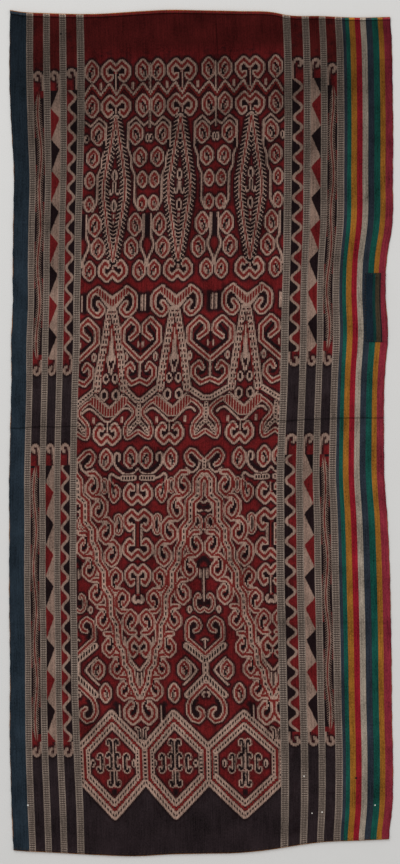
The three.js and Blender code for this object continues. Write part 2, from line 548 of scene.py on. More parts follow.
def lane(chart, axis):
    """The column of curls and hooks between two lozenges."""
    arch = [(0, 112.4), (5.5, 117), (13.5, 108.6), (21, 115), (21.2, 139), (17.4, 149), (17.4, 158)]
    arch += [(13.6, 166), (13.4, 193), (9, 202), (0, 192)]
    for side in chart.sides(axis):
        side.thread(arch, 0.85, soften=0)
        curl(side, 13.5, 125, 5.4, 9.8)
        curl(side, 8.6, 148.5, 4.4, 8.2)
        side.inked([(18.6, 130), (19.2, 140)], 1.0, soften=0)
        curl(side, 6.0, 171, 3.0, 6.8, -1)
        curl(side, 5.8, 194.5, 2.9, 6.2, -1)
        side.thread([(9, 201), (13.4, 193)], 0.85, soften=0)
        curl(side, 12, 216, 4.8, 10)
        side.thread([(3.6, 206), (3.8, 229), (6.6, 233), (6.4, 239), (1, 250), (0.8, 258)], 0.95)
        side.inked([(1.1, 207), (1.1, 227)], 1.2, soften=0)
        curl(side, 15.6, 239, 4.8, 9.4)
        curl(side, 7.3, 261.5, 4.3, 8.6)
    for offset in (-1.7, 1.7):
        oval(chart, axis + offset, 129.5, 1.2, 3.6, eye="ink")


def capital(chart, axis):
    """A pair of volutes with combed shoulders, on top of a tower."""
    for side in chart.sides(axis):
        side.combed([(0, 294.6), (6.4, 288.4), (14, 281.4)], (6.0, 3.6))
        volute = [(14, 279.4), (22.6, 286), (23, 299), (14.6, 307.4), (8.4, 300.6), (13.6, 294)]
        side.band(volute, 2.9, soften=1)
        channel = [(10.6, 290.2), (15.2, 287.4), (18.2, 291), (18.4, 297), (15.4, 301.2)]
        side.inked(channel, (0.9, 1.4))


def tower(chart, axis):
    """A tall gable of ladder legs with a pale tongue and small hooks between them."""
    for side in chart.sides(axis):
        leg = [(1.9, 300), (3.4, 308), (6.9, 331), (10.3, 354), (13.6, 380)]
        side.thread(leg, (2.8, 4.0), soften=1)
        for way in (-1.5, 1.5):
            column = [(x + way * (0.7 + n * 0.1), y + 2) for n, (x, y) in enumerate(leg)]
            side.add(column, 0.8, dash=0.8, pitch=5.2, halo=0, soften=1, over=1)
        side.red([(0.6, 316), (3.6, 338), (6.6, 352), (9.6, 374)], 1.0)
        mouth = [(3.4, 347), (3.6, 353), (1.2, 360), (0.9, 365)]
        side.thread(mouth, 0.85, soften=1)
        side.inked([(1.7, 351), (1.5, 357)], 0.8, soften=0)
        oval(side, 4.6, 369.6, 2.3, 4.6)
        side.inked([(1.0, 362), (1.2, 367), (3.4, 370)], 0.7)
        oval(side, 5.8, 386, 3.0, 5.4)
        side.inked([(5.2, 384), (6.2, 388)], 1.4, soften=0)
    chart.add([(axis, 318), (axis, 350)], (0.4, 3.0), soften=0)
    chart.inked([(axis, 343), (axis, 346)], 0.8, soften=0)
    chart.thread([(axis - 15.5, 385), (axis, 399), (axis + 13.5, 385)], 1.0, soften=0)
    chart.combed([(axis - 16, 391.6), (axis, 406), (axis + 14, 391.6)], (4.6, 4.6))
    lower = [(-27, 404), (-24, 400.6), (-19.4, 399), (-15, 401.6), (-1.6, 414.8), (7.6, 405)]
    lower += [(13.8, 399.2), (19.4, 399.4), (22.6, 403)]
    chart.thread([(axis + x, y) for x, y in lower], 0.95, soften=1)
    fleck(chart, axis - 15.4, 411.4, 0.9, 2.6)
    fleck(chart, axis + 12.6, 410.4, 0.9, 2.6)


def heart(chart, axis, share):
    """Two facing spirals that cross in a point and curl up again below it. share is how wide it is."""
    upper = [(9.4, 330), (2.8, 323.6), (3.2, 316.6), (8.8, 310.4), (16.4, 320), (16.6, 333.6), (0.4, 352)]
    lower = [(0.2, 371), (7, 375), (12.8, 367.4), (12.6, 359.6), (8.4, 355), (5.6, 360.6)]
    inner = [(6.0, 316.6), (9.2, 322), (11.8, 326), (12, 332.6), (6, 339), (1, 343)]
    nook = [(7.6, 365.6), (4.6, 364.6), (3.2, 359), (4.4, 352.6)]
    for side in chart.sides(axis, share):
        side.band(upper, BAND + 0.2, soften=0)
        side.inked(inner, 1.5, halo=0.5)
        side.band(lower, BAND + 0.1, soften=0)
        side.inked(nook, (1.7, 1.0), halo=0.5)
        fleck(side, 2.0, 335.6, 0.9, 2.4)
    chart.thread([(axis, 353), (axis, 369)], 1.0, soften=0)
    chart.inked([(axis, 325), (axis, 333)], 1.4, halo=0.5, soften=0)


def bars(chart, u, offsets):
    """The short cream bars between two capitals, with black beside them."""
    for offset in offsets:
        chart.thread([(u + offset, 286.6), (u + offset, 301.4)], 0.95, soften=0)
    wide = max(offsets) + 2.6
    for offset in (-wide, wide) if len(offsets) > 1 else (wide,):
        chart.inked([(u + offset, 286), (u + offset, 302)], 1.3, soften=0)


def foot(chart, u):
    """The splayed foot where the arms of two towers meet."""
    for side in chart.sides(u):
        arm = [(16.5, 390.6), (9.8, 394.4), (3.9, 400.6), (3.7, 406), (11.2, 414), (12.8, 419)]
        arm += [(12.9, 425.4), (10.4, 429.4), (0.3, 422.4)]
        side.band(arm, 2.2, 0.95, soften=1)
        side.ladder([(0.4, 412.6), (5, 416.8), (9, 422.4)], 2.0)
    chart.ladder([(u, 395), (u, 411)], 1.7)


def towers(chart):
    """The band of capitals, towers and hearts with the ladder zigzag below it."""
    for axis in (32, 95.5, 165.5):
        capital(chart, axis)
    for axis in (31.6, 94.2, 164.8):
        tower(chart, axis)
    for axis in (29.8, 91.8, 161.6):
        horns(chart, axis, 425, turn=-1, wide=11.4, reach=11)
    for axis, share in ((60.4, 1.12), (130, 1.3), (-2, 1.15), (200.5, 1.25)):
        heart(chart, axis, share)
    bars(chart, 2.2, (0,))
    bars(chart, 63.1, (-1.6, 1.6))
    bars(chart, 133, (-1.9, 1.9))
    bars(chart, 198.6, (0,))
    for u in (14.5, 46, 75.5, 109.5, 147, 183):
        oval(chart, u, 348, 1.6, 4.0, eye="red")
    chart.ladder([(-2, 396), (17, 380)], 2.6)
    chart.ladder([(46, 379.6), (60.6, 394.5), (77.5, 379.6)], 2.6)
    chart.ladder([(108.6, 379.6), (127.5, 392.6), (150, 379)], 2.6)
    chart.ladder([(179.4, 379), (201, 392.5)], 2.6)
    for u in (60.6, 127.4, -2, 196.5):
        foot(chart, u)


# A hook of the chains, about its eye: from the line it hangs on, round to its inner end.
J_HOOK = (
    (-3.8, -15.0),
    (2.0, -15.0),
    (7.0, -9.4),
    (7.4, -1.4),
    (4.6, 4.8),
    (0.4, 8.1),
    (-4.7, 3.2),
    (-4.8, -3.0),
    (-0.6, -8.4),
    (0.4, -6.6),
)
J_CHANNEL = ((0, 0.3), (2.6, -1.8), (3.6, -5.6), (2.2, -10.6))


def chain_hook(side, x, y, way=1, turn=1, scale=1.0):
    """A hook of the chains beside the gables.

    way is the side it opens to; turn -1 stands it on its head."""
    tip = ((-1.4, -7.6), (0.6, -4.2))
    paths = (J_HOOK, tip, J_CHANNEL)
    hook, tip, gap = ([(x + way * a * scale, y + turn * b * scale) for a, b in path] for path in paths)
    side.band(hook, 2.85 * scale, halo=0.6, soften=0)
    side.band(tip, 1.7 * scale, 0.7, halo=0, soften=0)
    side.inked(gap, (2.0, 1.2), halo=0.3)


def bracket(side, x, top, bottom):
    """An upright bracket between two small hooks that turn outwards."""
    path = [(x + 3.4, top + 7.5), (x + 5.4, top + 2), (x + 1.4, top - 1), (x - 1.6, top + 4)]
    path += [(x - 1.6, bottom - 4), (x + 1.4, bottom + 1), (x + 5.4, bottom - 2), (x + 3.4, bottom - 7.5)]
    side.band(path, 1.8, 0.6)
    side.inked([(x + 1.4, top + 6), (x + 1.4, bottom - 6)], 0.9, soften=0)


def valley(chart, axis):
    """The figures of a valley between two gables, from the curls down to the hexagons."""
    for side in chart.sides(axis):
        curl(side, 7.7, 448.6, 4.8, 9.4)
        small = [(13, 464.8), (16.4, 463), (21, 459), (24.2, 453.4), (24.2, 449), (22.6, 443.4)]
        small += [(18.8, 444.4), (18.4, 449.6), (20.2, 452.6)]
        side.thread(small, 1.0, soften=1)
        side.inked([(21, 447.6), (21.4, 453), (17.6, 458), (10, 461.6), (3, 460)], (0.9, 1.3))
        curl(side, 32.2, 449.8, 4.6, 9.4, -1)
        side.thread([(0.4, 459), (4.4, 464), (9, 465.4), (14, 464.8)], 0.9)
        side.add([(15.4, 468.8), (9, 469), (3.8, 468.6)], 2.7, dash=1.5, pitch=UPRIGHT)
        side.thread([(16, 469.4), (22, 467.6), (26.4, 463.6), (29, 467.4), (27.8, 471.6)], 1.0)
        crook = [(28.6, 472), (27.8, 480), (26.8, 487), (24, 491.6), (20.2, 487.4), (19.2, 481)]
        crook += [(22.4, 477.2), (24.2, 481)]
        side.band(crook, 2.4, soften=0)
        hollow = [(23.2, 486), (24.8, 482), (25.8, 474)]
        side.add(hollow, (1.9, 1.5), dash=1.0, pitch=JOINED, halo=0, soften=0, over=1)
        side.ringlet([(33.2, 469), (36.6, 473), (36.2, 480), (33.4, 484), (30.8, 479), (31, 472.6)])
        bracket(side, 17.4, 506, 524)
        side.thread([(3.7, 514), (3.7, 536)], 0.8, soften=0)
        side.thread([(0.4, 591), (2.6, 593.6), (5.6, 590), (3.4, 586.4)], 1.3)
        side.thread([(14, 628), (14.4, 637), (9, 650), (0.6, 660.6)], 1.0)
        side.thread([(1.9, 663), (1.8, 676), (0, 680)], 0.85, soften=0)
        curl(side, 34, 683, 3.8, 8.4)
        side.thread([(20.5, 712), (20.5, 695.6)], 0.7, soften=0)
        side.inked([(22.6, 707), (22.6, 696), (24.4, 694)], 0.9)
    horns(chart, axis, 485, turn=-1, reach=10)
    horns(chart, axis, 510.6, wide=13, reach=15)
    horns(chart, axis, 540, turn=-1, wide=13, reach=15)
    chart.red([(axis, 512), (axis, 538)], 0.9, soften=0)
    horns(chart, axis, 565.4, wide=10.8, reach=18)
    horns(chart, axis, 636.4, wide=10, reach=6)
    chart.ladder([(axis, 687), (axis, 699)], 2.4)


# The ladder that runs down beside a valley, out from its axis.
LADDER_RUN = (
    # out, down
    (64.6, 466),
    (60.0, 471.6),
    (60.0, 486.6),
    (52.8, 492.6),
    (52.8, 512),
    (46.0, 520.4),
    (45.8, 532),
    (41.2, 541),
    (41.2, 552),
    (34.0, 562.4),
    (34.0, 577),
    (27.8, 587),
    (27.6, 605.6),
    (22.0, 615.6),
    (21.0, 635),
    (16.2, 641),
    (15.4, 654),
    (10.2, 660.4),
    (8.0, 674.4),
    (4.2, 681),
    (1.6, 688),
)


def chains(chart, axis, gable_axis, sign):
    """The ladder on one side of a valley, with its inner and outer chains of hooks.

    sign is the side of the valley that it runs on; the outer chain keeps to the gable."""
    side = Side(chart, axis, sign)
    side.framed(LADDER_RUN)
    for x, y in ((45.4, 478.6), (39.6, 502), (32.4, 524.6), (26.6, 547)):
        chain_hook(side, x, y, way=-1)
    for x, y in ((21.6, 567), (15.2, 588), (7.4, 609)):
        chain_hook(side, x, y, turn=-1, scale=0.92)
    for x, y in ((8.0, 538), (13.6, 561), (20.6, 585)):
        chain_hook(Side(chart, gable_axis, -sign), x, y)
    for x, y in ((36, 611), (30, 638), (22.8, 659), (16, 681)):
        chain_hook(side, x, y, way=-1, scale=0.94)
    chain_hook(side, 8.4, 703, way=-1, scale=1.15)


def gable(chart, axis):
    """The figures inside a gable, down to the top of a hexagon."""
    chart.ladder([(axis, 452), (axis, 468)], 1.9)
    for side in chart.sides(axis):
        open_hook = [(2.4, 451), (12.8, 440.4), (18.6, 447), (15, 454.6), (10.6, 456.4)]
        side.band(open_hook, 2.5, soften=1)
        side.inked([(14.4, 447.4), (10.6, 451.4), (7.6, 455), (9.6, 460)], (1.4, 1.0))
        side.thread([(4.4, 453.6), (5.4, 459), (12, 464.6), (18.4, 459)], 0.9)
        side.thread([(1.9, 480), (2.0, 487.4)], 0.85, soften=0)
        side.thread([(8.4, 499.4), (7.4, 494), (3.6, 491.4), (0.5, 494)], 0.85)
        side.thread([(8.4, 499.4), (5.0, 502.6), (1.8, 501.4)], 0.85)
        side.inked([(4.6, 497.6), (1.2, 498.2)], (1.4, 0.6))
        pair = [(0.9, 520), (2.6, 510), (6.4, 506), (10.4, 510), (10.2, 517), (6.6, 521), (4.4, 517)]
        side.band(pair, 1.7, 0.6)
        side.inked([(6.8, 510.4), (7.0, 515)], 1.0, soften=0)
        dome = [(0, 549), (4.8, 552), (6.4, 558.4)]
        side.inked(dome, 1.0, soften=1)
        side.thread([(3.4, 560), (3.4, 568)], 0.85, soften=0)
        cup = [(0, 599), (4.6, 602.6), (9.2, 597.6), (9.0, 588.6), (5.6, 584.4), (4.2, 588)]
        side.band(cup, 2.0, 0.75)
        side.inked([(4.8, 592.6), (1.6, 594.6)], (1.5, 0.8))
        oval(side, 14.6, 600, 1.7, 3.2, eye="red")
        head = [(10.2, 621.4), (6.8, 620.4), (4.5, 616), (6.7, 611.5), (10.8, 608.6), (16, 612)]
        head += [(17.6, 617), (17.6, 629), (0.3, 644.6)]
        side.band(head, 2.35, soften=0)
        side.inked([(10.6, 615.4), (14, 618.4), (14.4, 623), (12, 627)], 1.2, soften=0)
        side.add([(18.4, 636), (0.4, 651)], 3.3, dash=1.6, pitch=UPRIGHT, soften=0)
        side.add([(0.4, 667), (10, 676.5), (18.4, 685)], 3.3, dash=1.6, pitch=UPRIGHT, soften=0)
        curl(side, 21.2, 659.5, 4.7, 8.6)
        side.thread([(20, 648), (12.5, 655), (8.6, 660.5), (14, 667), (22, 675)], 0.95, soften=0)
        foot_hook = [(0.3, 674.2), (8.3, 681.8), (15.2, 689), (17.8, 695), (18, 703), (13.9, 709.4)]
        foot_hook += [(8.3, 711.2), (3.6, 706.7), (4.2, 701), (8.0, 698.4)]
        side.band(foot_hook, 2.5, soften=0)
        side.inked([(11, 690), (13.2, 696), (12.6, 701.6), (9.2, 705)], (0.9, 1.5))
        side.thread([(0.4, 683), (2.4, 681.6), (3.8, 684.4), (2.2, 687)], 0.8)
    chart.inked([(axis, 509), (axis, 521)], 0.8, soften=0)
    chart.thread([(axis, 560), (axis, 592)], 0.85, soften=0)
    chart.thread([(axis - 2.8, 630.4), (axis, 629), (axis + 2.8, 630.4)], 0.9)
    chart.thread([(axis, 629), (axis, 638)], 0.8, soften=0)
    chart.ladder([(axis, 650), (axis, 668)], 2.8, pitch=5.2)


# The shields along the bottom: where the points are, the middle of the sides and half the width.
SHIELDS = ((32.4, 32.0, 32.0), (94.2, 95.7, 31.7), (164.2, 163.8, 36.4))

# One side of the cross of hooks in a shield, from its axis.
CROSS = (
    ((4.8, 733.8), (4.6, 730.4), (2.7, 730.2), (1.6, 733), (1.6, 743)),
    (
        *((5.9, 746.6), (4.9, 743.4), (2.7, 744), (2.0, 747)),
        *((2.0, 755.6), (2.7, 758.8), (4.9, 759.2), (5.9, 756.2)),
    ),
    ((4.8, 771.4), (4.6, 775.2), (2.7, 775.6), (1.6, 772.6), (1.6, 762)),
    (
        *((15, 748), (13.8, 744.4), (11.6, 745.2), (11.2, 748.6)),
        *((11.4, 757.4), (11.8, 760.8), (14.2, 761.6), (15.4, 758)),
    ),
)


def hexagon(chart, tip, middle, wide):
    """One of the three pointed shields along the bottom, with its cross of hooks."""
    frames = ((702.8, 806.8, 0.0, 2.6, 3.1), (715.2, 793.6, 7.4, 7.4, 2.9))
    for sign in (-1, 1):
        for top, bottom, inset, turn, half in frames:
            edge = middle + sign * (wide - inset)
            chart.ladder([(tip, top), (edge, 734 + turn)], half, UPRIGHT, soften=0)
            chart.ladder([(edge, 735.6 + turn), (edge, 772.4 - turn)], half - 0.9, 3.8, soften=0)
            chart.ladder([(edge, 774 - turn), (tip - 0.6, bottom)], half, UPRIGHT, soften=0)
        edge = middle + sign * (wide - 4.0)
        chart.red([(tip, 709.2), (edge, 740), (edge, 768.4), (tip - 0.5, 800.2)], 0.95, halo=0, soften=0)
    for side in chart.sides(tip):
        for figure in CROSS:
            side.channel(figure, 2.15, halo=0.4)
        oval(side, 20.6, 753.2, 1.5, 3.4)
    chart.thread([(tip, 729.6), (tip, 776.6)], 0.7, halo=0, soften=0)
    chart.inked([(tip - 0.2, 780.4), (tip - 0.2, 783.6)], 1.2, soften=0)


def chart_of_field():
    """The whole chart of the field's figures."""
    chart = Chart()
    top_rows(chart)
    for axis in (31.5, 96, 167):
        lozenge(chart, axis)
    for axis in (1, 65, 131.5, 200):
        lane(chart, axis)
    towers(chart)
    for axis, gables in ((61.4, (-1, 127.2)), (194.4, (127.2, 260))):
        valley(chart, axis)
        chains(chart, axis, gables[0], -1)
        chains(chart, axis, gables[1], 1)
    for axis in (-1, 127.2):
        gable(chart, axis)
    for tip, middle, wide in SHIELDS:
        hexagon(chart, tip, middle, wide)
    for axis in (62, 196.5):
        for side in chart.sides(axis):
            side.channel([(5.4, 718), (2.4, 719.4), (2.1, 730)], 1.9)
    return chart


def in_hexagon(across, down):
    """True inside the pointed lower halves of the shields."""
    levels = (750, 772, 809)
    inside = []
    for tip, middle, wide in SHIELDS:
        left, right = (
            np.interp(down, levels, (middle + half, middle + half, tip)) for half in (3 - wide, wide - 3)
        )
        inside.append((across > left) & (across < right))
    return np.any(inside, axis=0)


# Where each kind of strip pattern starts on the left and on the right, in picks.
STRIP_PHASE = {"wave": (2.5, 8.0), "teeth": (4.2, 28.0), "vine": (45.0, 38.0)}

# How far down each strip's figure repeats, in picks.
TOOTH = 31.2
WAVE = 20.0
VINE = 76.0

# Red core, dashes and halo of each kind of patterned strip.
STRIP_LOOKS = {"wave": (0.0, 0.0, 0.2), "teeth": (0.0, 0.0, 0.0), "vine": (0.6, -1.5, 0.3)}

# Where the patterned strips start and end, left and right of the field, in picks from the top;
# how much later each kind starts there; and the plain ground before and after its figure.
STRIP_RUNS = {-1: ((60, 365), (433, 747)), 1: ((54, 361), (427, 736))}
STRIP_START = {"wave": (-2, 0), "teeth": (0, 1), "vine": (0, 7)}
STRIP_LEAD = 21
STRIP_TAIL = 15


def strip_line(kind, side, across, down, wide):
    """The figure of a patterned strip, from its own side that faces away from the field.

    Gives the signed distance from the cream figure's middle and its half width."""
    down = down - STRIP_PHASE[kind][side > 0]
    if kind == "teeth":
        part = (down / TOOTH) % 1
        wedge = np.minimum(part / 0.32, (1 - part) / 0.68)
        return wide - across, np.maximum((wide - 0.6) * (1 - wedge) + 0.3, 0.4)
    period, margin, half = (WAVE, 1.7, 1.15) if kind == "wave" else (VINE, wide / 2 - 1.3, 3.7)
    turn = 2 * math.pi * down / period
    swing = wide / 2 - margin
    slope = swing * 2 * math.pi / period * np.cos(turn)
    t = (across - wide / 2 - swing * np.sin(turn)) / np.sqrt(1 + slope**2)
    return t, np.full(t.shape, half)


def strip_sides(kind, side, down, colours):
    """Ground colours on the far and the near side of a strip's figure, for each row."""
    red = np.tile(np.array(colours["ground"]), (len(down), 1))
    black = np.tile(np.array(colours["ink"]), (len(down), 1))
    if kind == "wave":
        return red, black
    down = down - STRIP_PHASE[kind][side > 0]
    if kind == "teeth":
        odd = (np.floor(down / TOOTH) % 2 == (side < 0))[:, None]
        wedge = np.where(odd, red, black)
        return wedge, wedge
    swing = np.sin(2 * math.pi * down / VINE)[:, None]
    return np.where(swing > 0.4, black, red), np.where(swing < -0.4, black, red)


def strip_end(wide, top, turn):
    """The small hook that starts or ends a patterned strip."""
    chart = Chart()
    path = [(3.6, 8.4), (1.6, 5.6), (1.7, 3), (wide * 0.46, 0.9), (wide - 2, 3.2), (wide - 1, 8.4)]
    path.append((wide - 0.8, STRIP_LEAD))
    chart.thread([(x, top + turn * y) for x, y in path], (1.5, 0.8), soften=1)
    return chart


def strip_values(colours, kind, side, wide, own, down):
    """Ground, figure and style on the corners of a patterned strip, from its far side."""
    (first, last), *others = STRIP_RUNS[side]
    runs = [(first + STRIP_START[kind][side > 0], last), *others]
    rows = len(down) - 1
    cells = len(own) - 1
    middles = between(down)
    here = np.tile(np.stack([own[:-1], own[1:], own[1:], own[:-1]], axis=-1), (rows, 1, 1))
    place = np.stack([down[:-1], down[:-1], down[1:], down[1:]], axis=-1)[:, None] + np.zeros(here.shape)
    t, half = strip_line(kind, side, here, place, wide)
    far, near = strip_sides(kind, side, middles, colours)
    away = t.mean(axis=-1) < 0 if kind != "teeth" else np.ones((rows, cells), bool)
    shade = np.where(away[..., None], far[:, None], near[:, None])
    run = np.zeros(rows, bool)
    lead = np.zeros(rows, bool)
    for first, last in runs:
        run |= (middles > first + STRIP_LEAD) & (middles < last - STRIP_TAIL)
        lead |= (middles > first + 2) & (middles < last - 2)
    lead &= ~run
    if kind == "vine":
        tips = [edge for first, last in runs for edge in (first + STRIP_LEAD, last - STRIP_TAIL)]
        half = half * np.clip(np.abs(place[..., None] - tips).min(axis=-1) / 14, 0.1, 1)
    plain = np.where((middles < runs[0][0])[:, None], colours["plain"], colours["dusk"])
    plain = np.where(lead[:, None], colours["ground"], plain)
    shade = np.where(run[:, None, None], shade, plain[:, None])
    figure = np.stack([np.where(run[:, None, None], t, REACH * 2), place, half], axis=-1)
    style = np.zeros(figure.shape)
    style[:] = STRIP_LOOKS[kind]
    for edge, turn in [pair for first, last in runs for pair in ((first, 1), (last, -1))]:
        line, looks, _ = strip_end(wide, edge, turn).measured(own, down)
        over = (lead[:, None] | ~run[:, None]) & (np.abs(line[..., 0]).min(axis=-1) < REACH)
        over &= (np.abs(middles - edge) < 24)[:, None]
        figure[over] = line[over]
        style[over] = looks[over]
    ground = np.repeat(shade[:, :, None], 4, axis=2)
    return [ground, figure, style]


# What a face corner carries besides its ground colour where there is no figure.
NO_FIGURE = {"figure": (REACH * 2, 0.0, 0.0), "style": (0.0, 0.0, 0.0), "rung": -1.0, "pitch": 2.2}


def stripe_corners(colours, kinds, across, down):
    """What every face corner of the chart's grid carries: ground, figure, style, rung and pitch."""
    cells = (len(down) - 1, len(across) - 1, 4)
    looks = {name: np.zeros(cells + np.shape(fill)) + fill for name, fill in NO_FIGURE.items()}
    looks["ground"] = np.zeros(cells + (3,))
    start = 0.0
    column = 0
    for kind, wide, count in kinds:
        inside = slice(column, column + count)
        x = across[column : column + count + 1] - start
        if kind == "ladder":
            looks["ground"][:, inside] = colours["rung"]
            looks["rung"][:, inside] = np.stack([x[:-1], x[1:], x[1:], x[:-1]], axis=-1) / wide
        elif kind in STRIP_LOOKS:
            side = -1 if start < FIELD_START else 1
            own = x if side < 0 else (wide - x)[::-1]
            values = strip_values(colours, kind, side, wide, own, down)
            if side > 0:
                values = [v[:, ::-1][:, :, (1, 0, 3, 2)] for v in values]
            looks["ground"][:, inside], looks["figure"][:, inside], looks["style"][:, inside] = values
        elif kind == "field":
            figure, style, pitch = chart_of_field().measured(x, down)
            looks["figure"][:, inside] = figure
            looks["style"][:, inside] = style
            looks["pitch"][:, inside] = pitch
            looks["ground"][:, inside] = field_ground(colours, between(x), down)
        else:
            looks["ground"][:, inside] = colours[kind]
        start += wide
        column += count
    return looks


def field_ground(colours, across, down):
    """Ground colours of the field: plain red at the top, dusk round the shields' points, red between."""
    corner_down = np.stack([down[:-1], down[:-1], down[1:], down[1:]], axis=-1)
    high = 1 - smooth(34, 52, corner_down)[:, None, :, None]
    shade = np.array(colours["ground"]) * (1 - high) + np.array(colours["plain"]) * high
    rows = between(down)[:, None]
    low = ((rows > 752) & ~in_hexagon(across[None], rows))[:, :, None, None]
    return shade * (1 - low) + np.array(colours["dusk"]) * low


def grid_faces(rows, columns, first=0):
    """Quads over a grid of points, row by row, that face up when rows run down the cloth."""
    j, i = np.meshgrid(np.arange(rows - 1), np.arange(columns - 1), indexing="ij")
    a = first + j * columns + i
    return np.stack([a + columns, a + columns + 1, a + 1, a], axis=-1).reshape(-1, 4)


def make_mesh(name, points, faces):
    """A mesh from an array of points and a list of faces, smooth shaded."""
    mesh = bpy.data.meshes.new(name)
    corners = np.concatenate([np.ravel(f) for f in faces]).astype(np.int32)
    sizes = np.concatenate([np.full(len(f), f.shape[1]) for f in faces]).astype(np.int32)
    mesh.vertices.add(len(points))
    mesh.vertices.foreach_set("co", np.ravel(points).astype(np.float32))
    mesh.loops.add(len(corners))
    mesh.loops.foreach_set("vertex_index", corners)
    mesh.polygons.add(len(sizes))
    mesh.polygons.foreach_set("loop_start", (np.cumsum(sizes) - sizes).astype(np.int32))
    mesh.polygons.foreach_set("use_smooth", np.ones(len(sizes), bool))
    mesh.update(calc_edges=True)
    if mesh.validate():
        raise RuntimeError(f"{name} has faulty faces")
    piece = bpy.data.objects.new(name, mesh)
    bpy.context.scene.collection.objects.link(piece)
    return piece


def sheet_shell(name, x, y, top, bottom, rim=0.5):
    """A closed sheet over a grid of places; the underside takes every second row and column.

    Every column and row count is odd. Returns the object and the count of faces on top."""
    rows, columns = x.shape
    top = top.copy()
    edge = np.zeros(x.shape, bool)
    edge[[0, -1]] = True
    edge[:, [0, -1]] = True
    top[edge] = bottom[edge] + (top[edge] - bottom[edge]) * rim
    over = np.stack([x, y, top], axis=-1).reshape(-1, 3)
    under = np.stack([x, y, bottom], axis=-1)[::2, ::2]
    low_rows, low_columns = under.shape[:2]
    first = rows * columns
    upper = grid_faces(rows, columns)
    lower = grid_faces(low_rows, low_columns, first)[:, ::-1]
    ring = np.concatenate(
        [
            np.arange(columns),
            np.arange(1, rows) * columns + columns - 1,
            (rows - 1) * columns + np.arange(columns - 2, -1, -1),
            np.arange(rows - 2, 0, -1) * columns,
        ]
    )
    low_ring = first + np.concatenate(
        [
            np.arange(low_columns),
            np.arange(1, low_rows) * low_columns + low_columns - 1,
            (low_rows - 1) * low_columns + np.arange(low_columns - 2, -1, -1),
            np.arange(low_rows - 2, 0, -1) * low_columns,
        ]
    )
    after = np.roll(ring, -2)[::2]
    sides = np.stack([ring[::2], ring[1::2], after, np.roll(low_ring, -1), low_ring], axis=-1)
    piece = make_mesh(name, np.concatenate([over, under.reshape(-1, 3)]), [upper, lower, sides])
    return piece, len(upper)


def bump_over(distance, half):
    """A smooth hump, 1 in the middle and 0 at half."""
    return np.maximum(0, 1 - (distance / half) ** 2) ** 2


# The laid cloth's low relief, in millimetres from the left and top of its box. A crease: where it
# starts at the left, where it ends at the right, its share of the height, how far it spreads.
# The dent: its middle across and down, half its width and height, its rise.
CREASES = ((277, 272, 0.45, 16), (543, 531, 1.0, 12), (799, 793, 0.45, 16))
DENT = (266, 38, 9, 26, 0.5)

# The patch's left side, top and bottom in the same way, and how far round it the cloth is flat.
PATCH_LEFT = 463.0
PATCH_TOP = 342.0
PATCH_BOTTOM = 431.5
PATCH_MARGIN = 46.0


def lift(sizes, across, down):
    """How far the cloth stands off the table at a place, in millimetres from its box's corner."""
    wave = 1 + np.sin(2 * math.pi * across / 92 + down / 131) * np.cos(2 * math.pi * down / 131)
    height = sizes.wave / MM * wave
    for left, right, rise, spread in CREASES:
        middle = left + (right - left) * across / 499
        height = height + rise * sizes.crease / MM * bump_over(down - middle, spread)
    x, y, half_wide, half_high, rise = DENT
    height = height + rise * bump_over(np.hypot((across - x) / half_wide, (down - y) / half_high), 1)
    beyond = np.maximum(PATCH_LEFT - PATCH_MARGIN - across, 0)
    above = np.maximum(PATCH_TOP - PATCH_MARGIN - down, 0)
    below = np.maximum(down - PATCH_BOTTOM - PATCH_MARGIN, 0)
    return height * smooth(0, PATCH_MARGIN, np.hypot(beyond, np.maximum(above, below)))


def cell_lines(kinds):
    """Where the columns of cells part, in picks."""
    lines = [0.0]
    for _, wide, cells in kinds:
        lines += list(lines[-1] + wide * (np.arange(cells) + 1) / cells)
    return np.array(lines)


def to_box(across, down):
    """Metres from picks off the left and top of the cloth's box."""
    low, high = CAD_BOX
    return low[0] + across * PICK, high[1] - down * PICK


# Rows of face corners between the hems, an odd number.
BODY_ROWS = 339


def make_cloth(sizes, colours):
    """The woven cloth with its figures, as one closed sheet."""
    columns = cell_lines(STRIPES)
    depth = sizes.hem_depth / PICK
    turned = [0.0, 0.4, depth - 0.55, depth, depth + 0.7]
    body = np.linspace(depth + 2.0, CLOTH_DOWN - depth - 2.0, BODY_ROWS)
    rows = np.concatenate([turned, body, CLOTH_DOWN - np.array(turned[::-1])])
    lines = np.concatenate([[0.0, 0.4], columns[1:-1], [CLOTH_ACROSS - 0.4, CLOTH_ACROSS]])
    u, v = np.meshgrid(lines, rows)
    x, y = laid(u, v)
    rough = 0.22 * np.sin(v / 2.9) * np.sin(v / 8.3 + 1.2) + 0.16 * np.sin(v / 17.0)
    x = x + rough * (bump_over(u, 12) + bump_over(CLOTH_ACROSS - u, 12))
    away = lift(sizes, x * PICK / MM, y * PICK / MM) * MM
    layers = 1 - smooth(depth - 0.55, depth + 0.35, v)
    layers = layers + 1 - smooth(depth - 0.8, depth + 1.5, CLOTH_DOWN - v)
    turned_up = (sizes.hem_thickness - sizes.thickness) * layers
    bx, by = to_box(x, y)
    face = away + sizes.thickness + turned_up
    piece, upper = sheet_shell("cloth_sheet", bx, by, face, away * (1 - layers))
    kinds = list(STRIPES)
    for outer in (0, -1):
        kind, wide, cells = kinds[outer]
        kinds[outer] = (kind, wide, cells + 1)
    looks = stripe_corners(colours, kinds, lines, rows)
    paint_sheet(piece, upper, looks, colours["dusk"], lines, rows)
    return piece


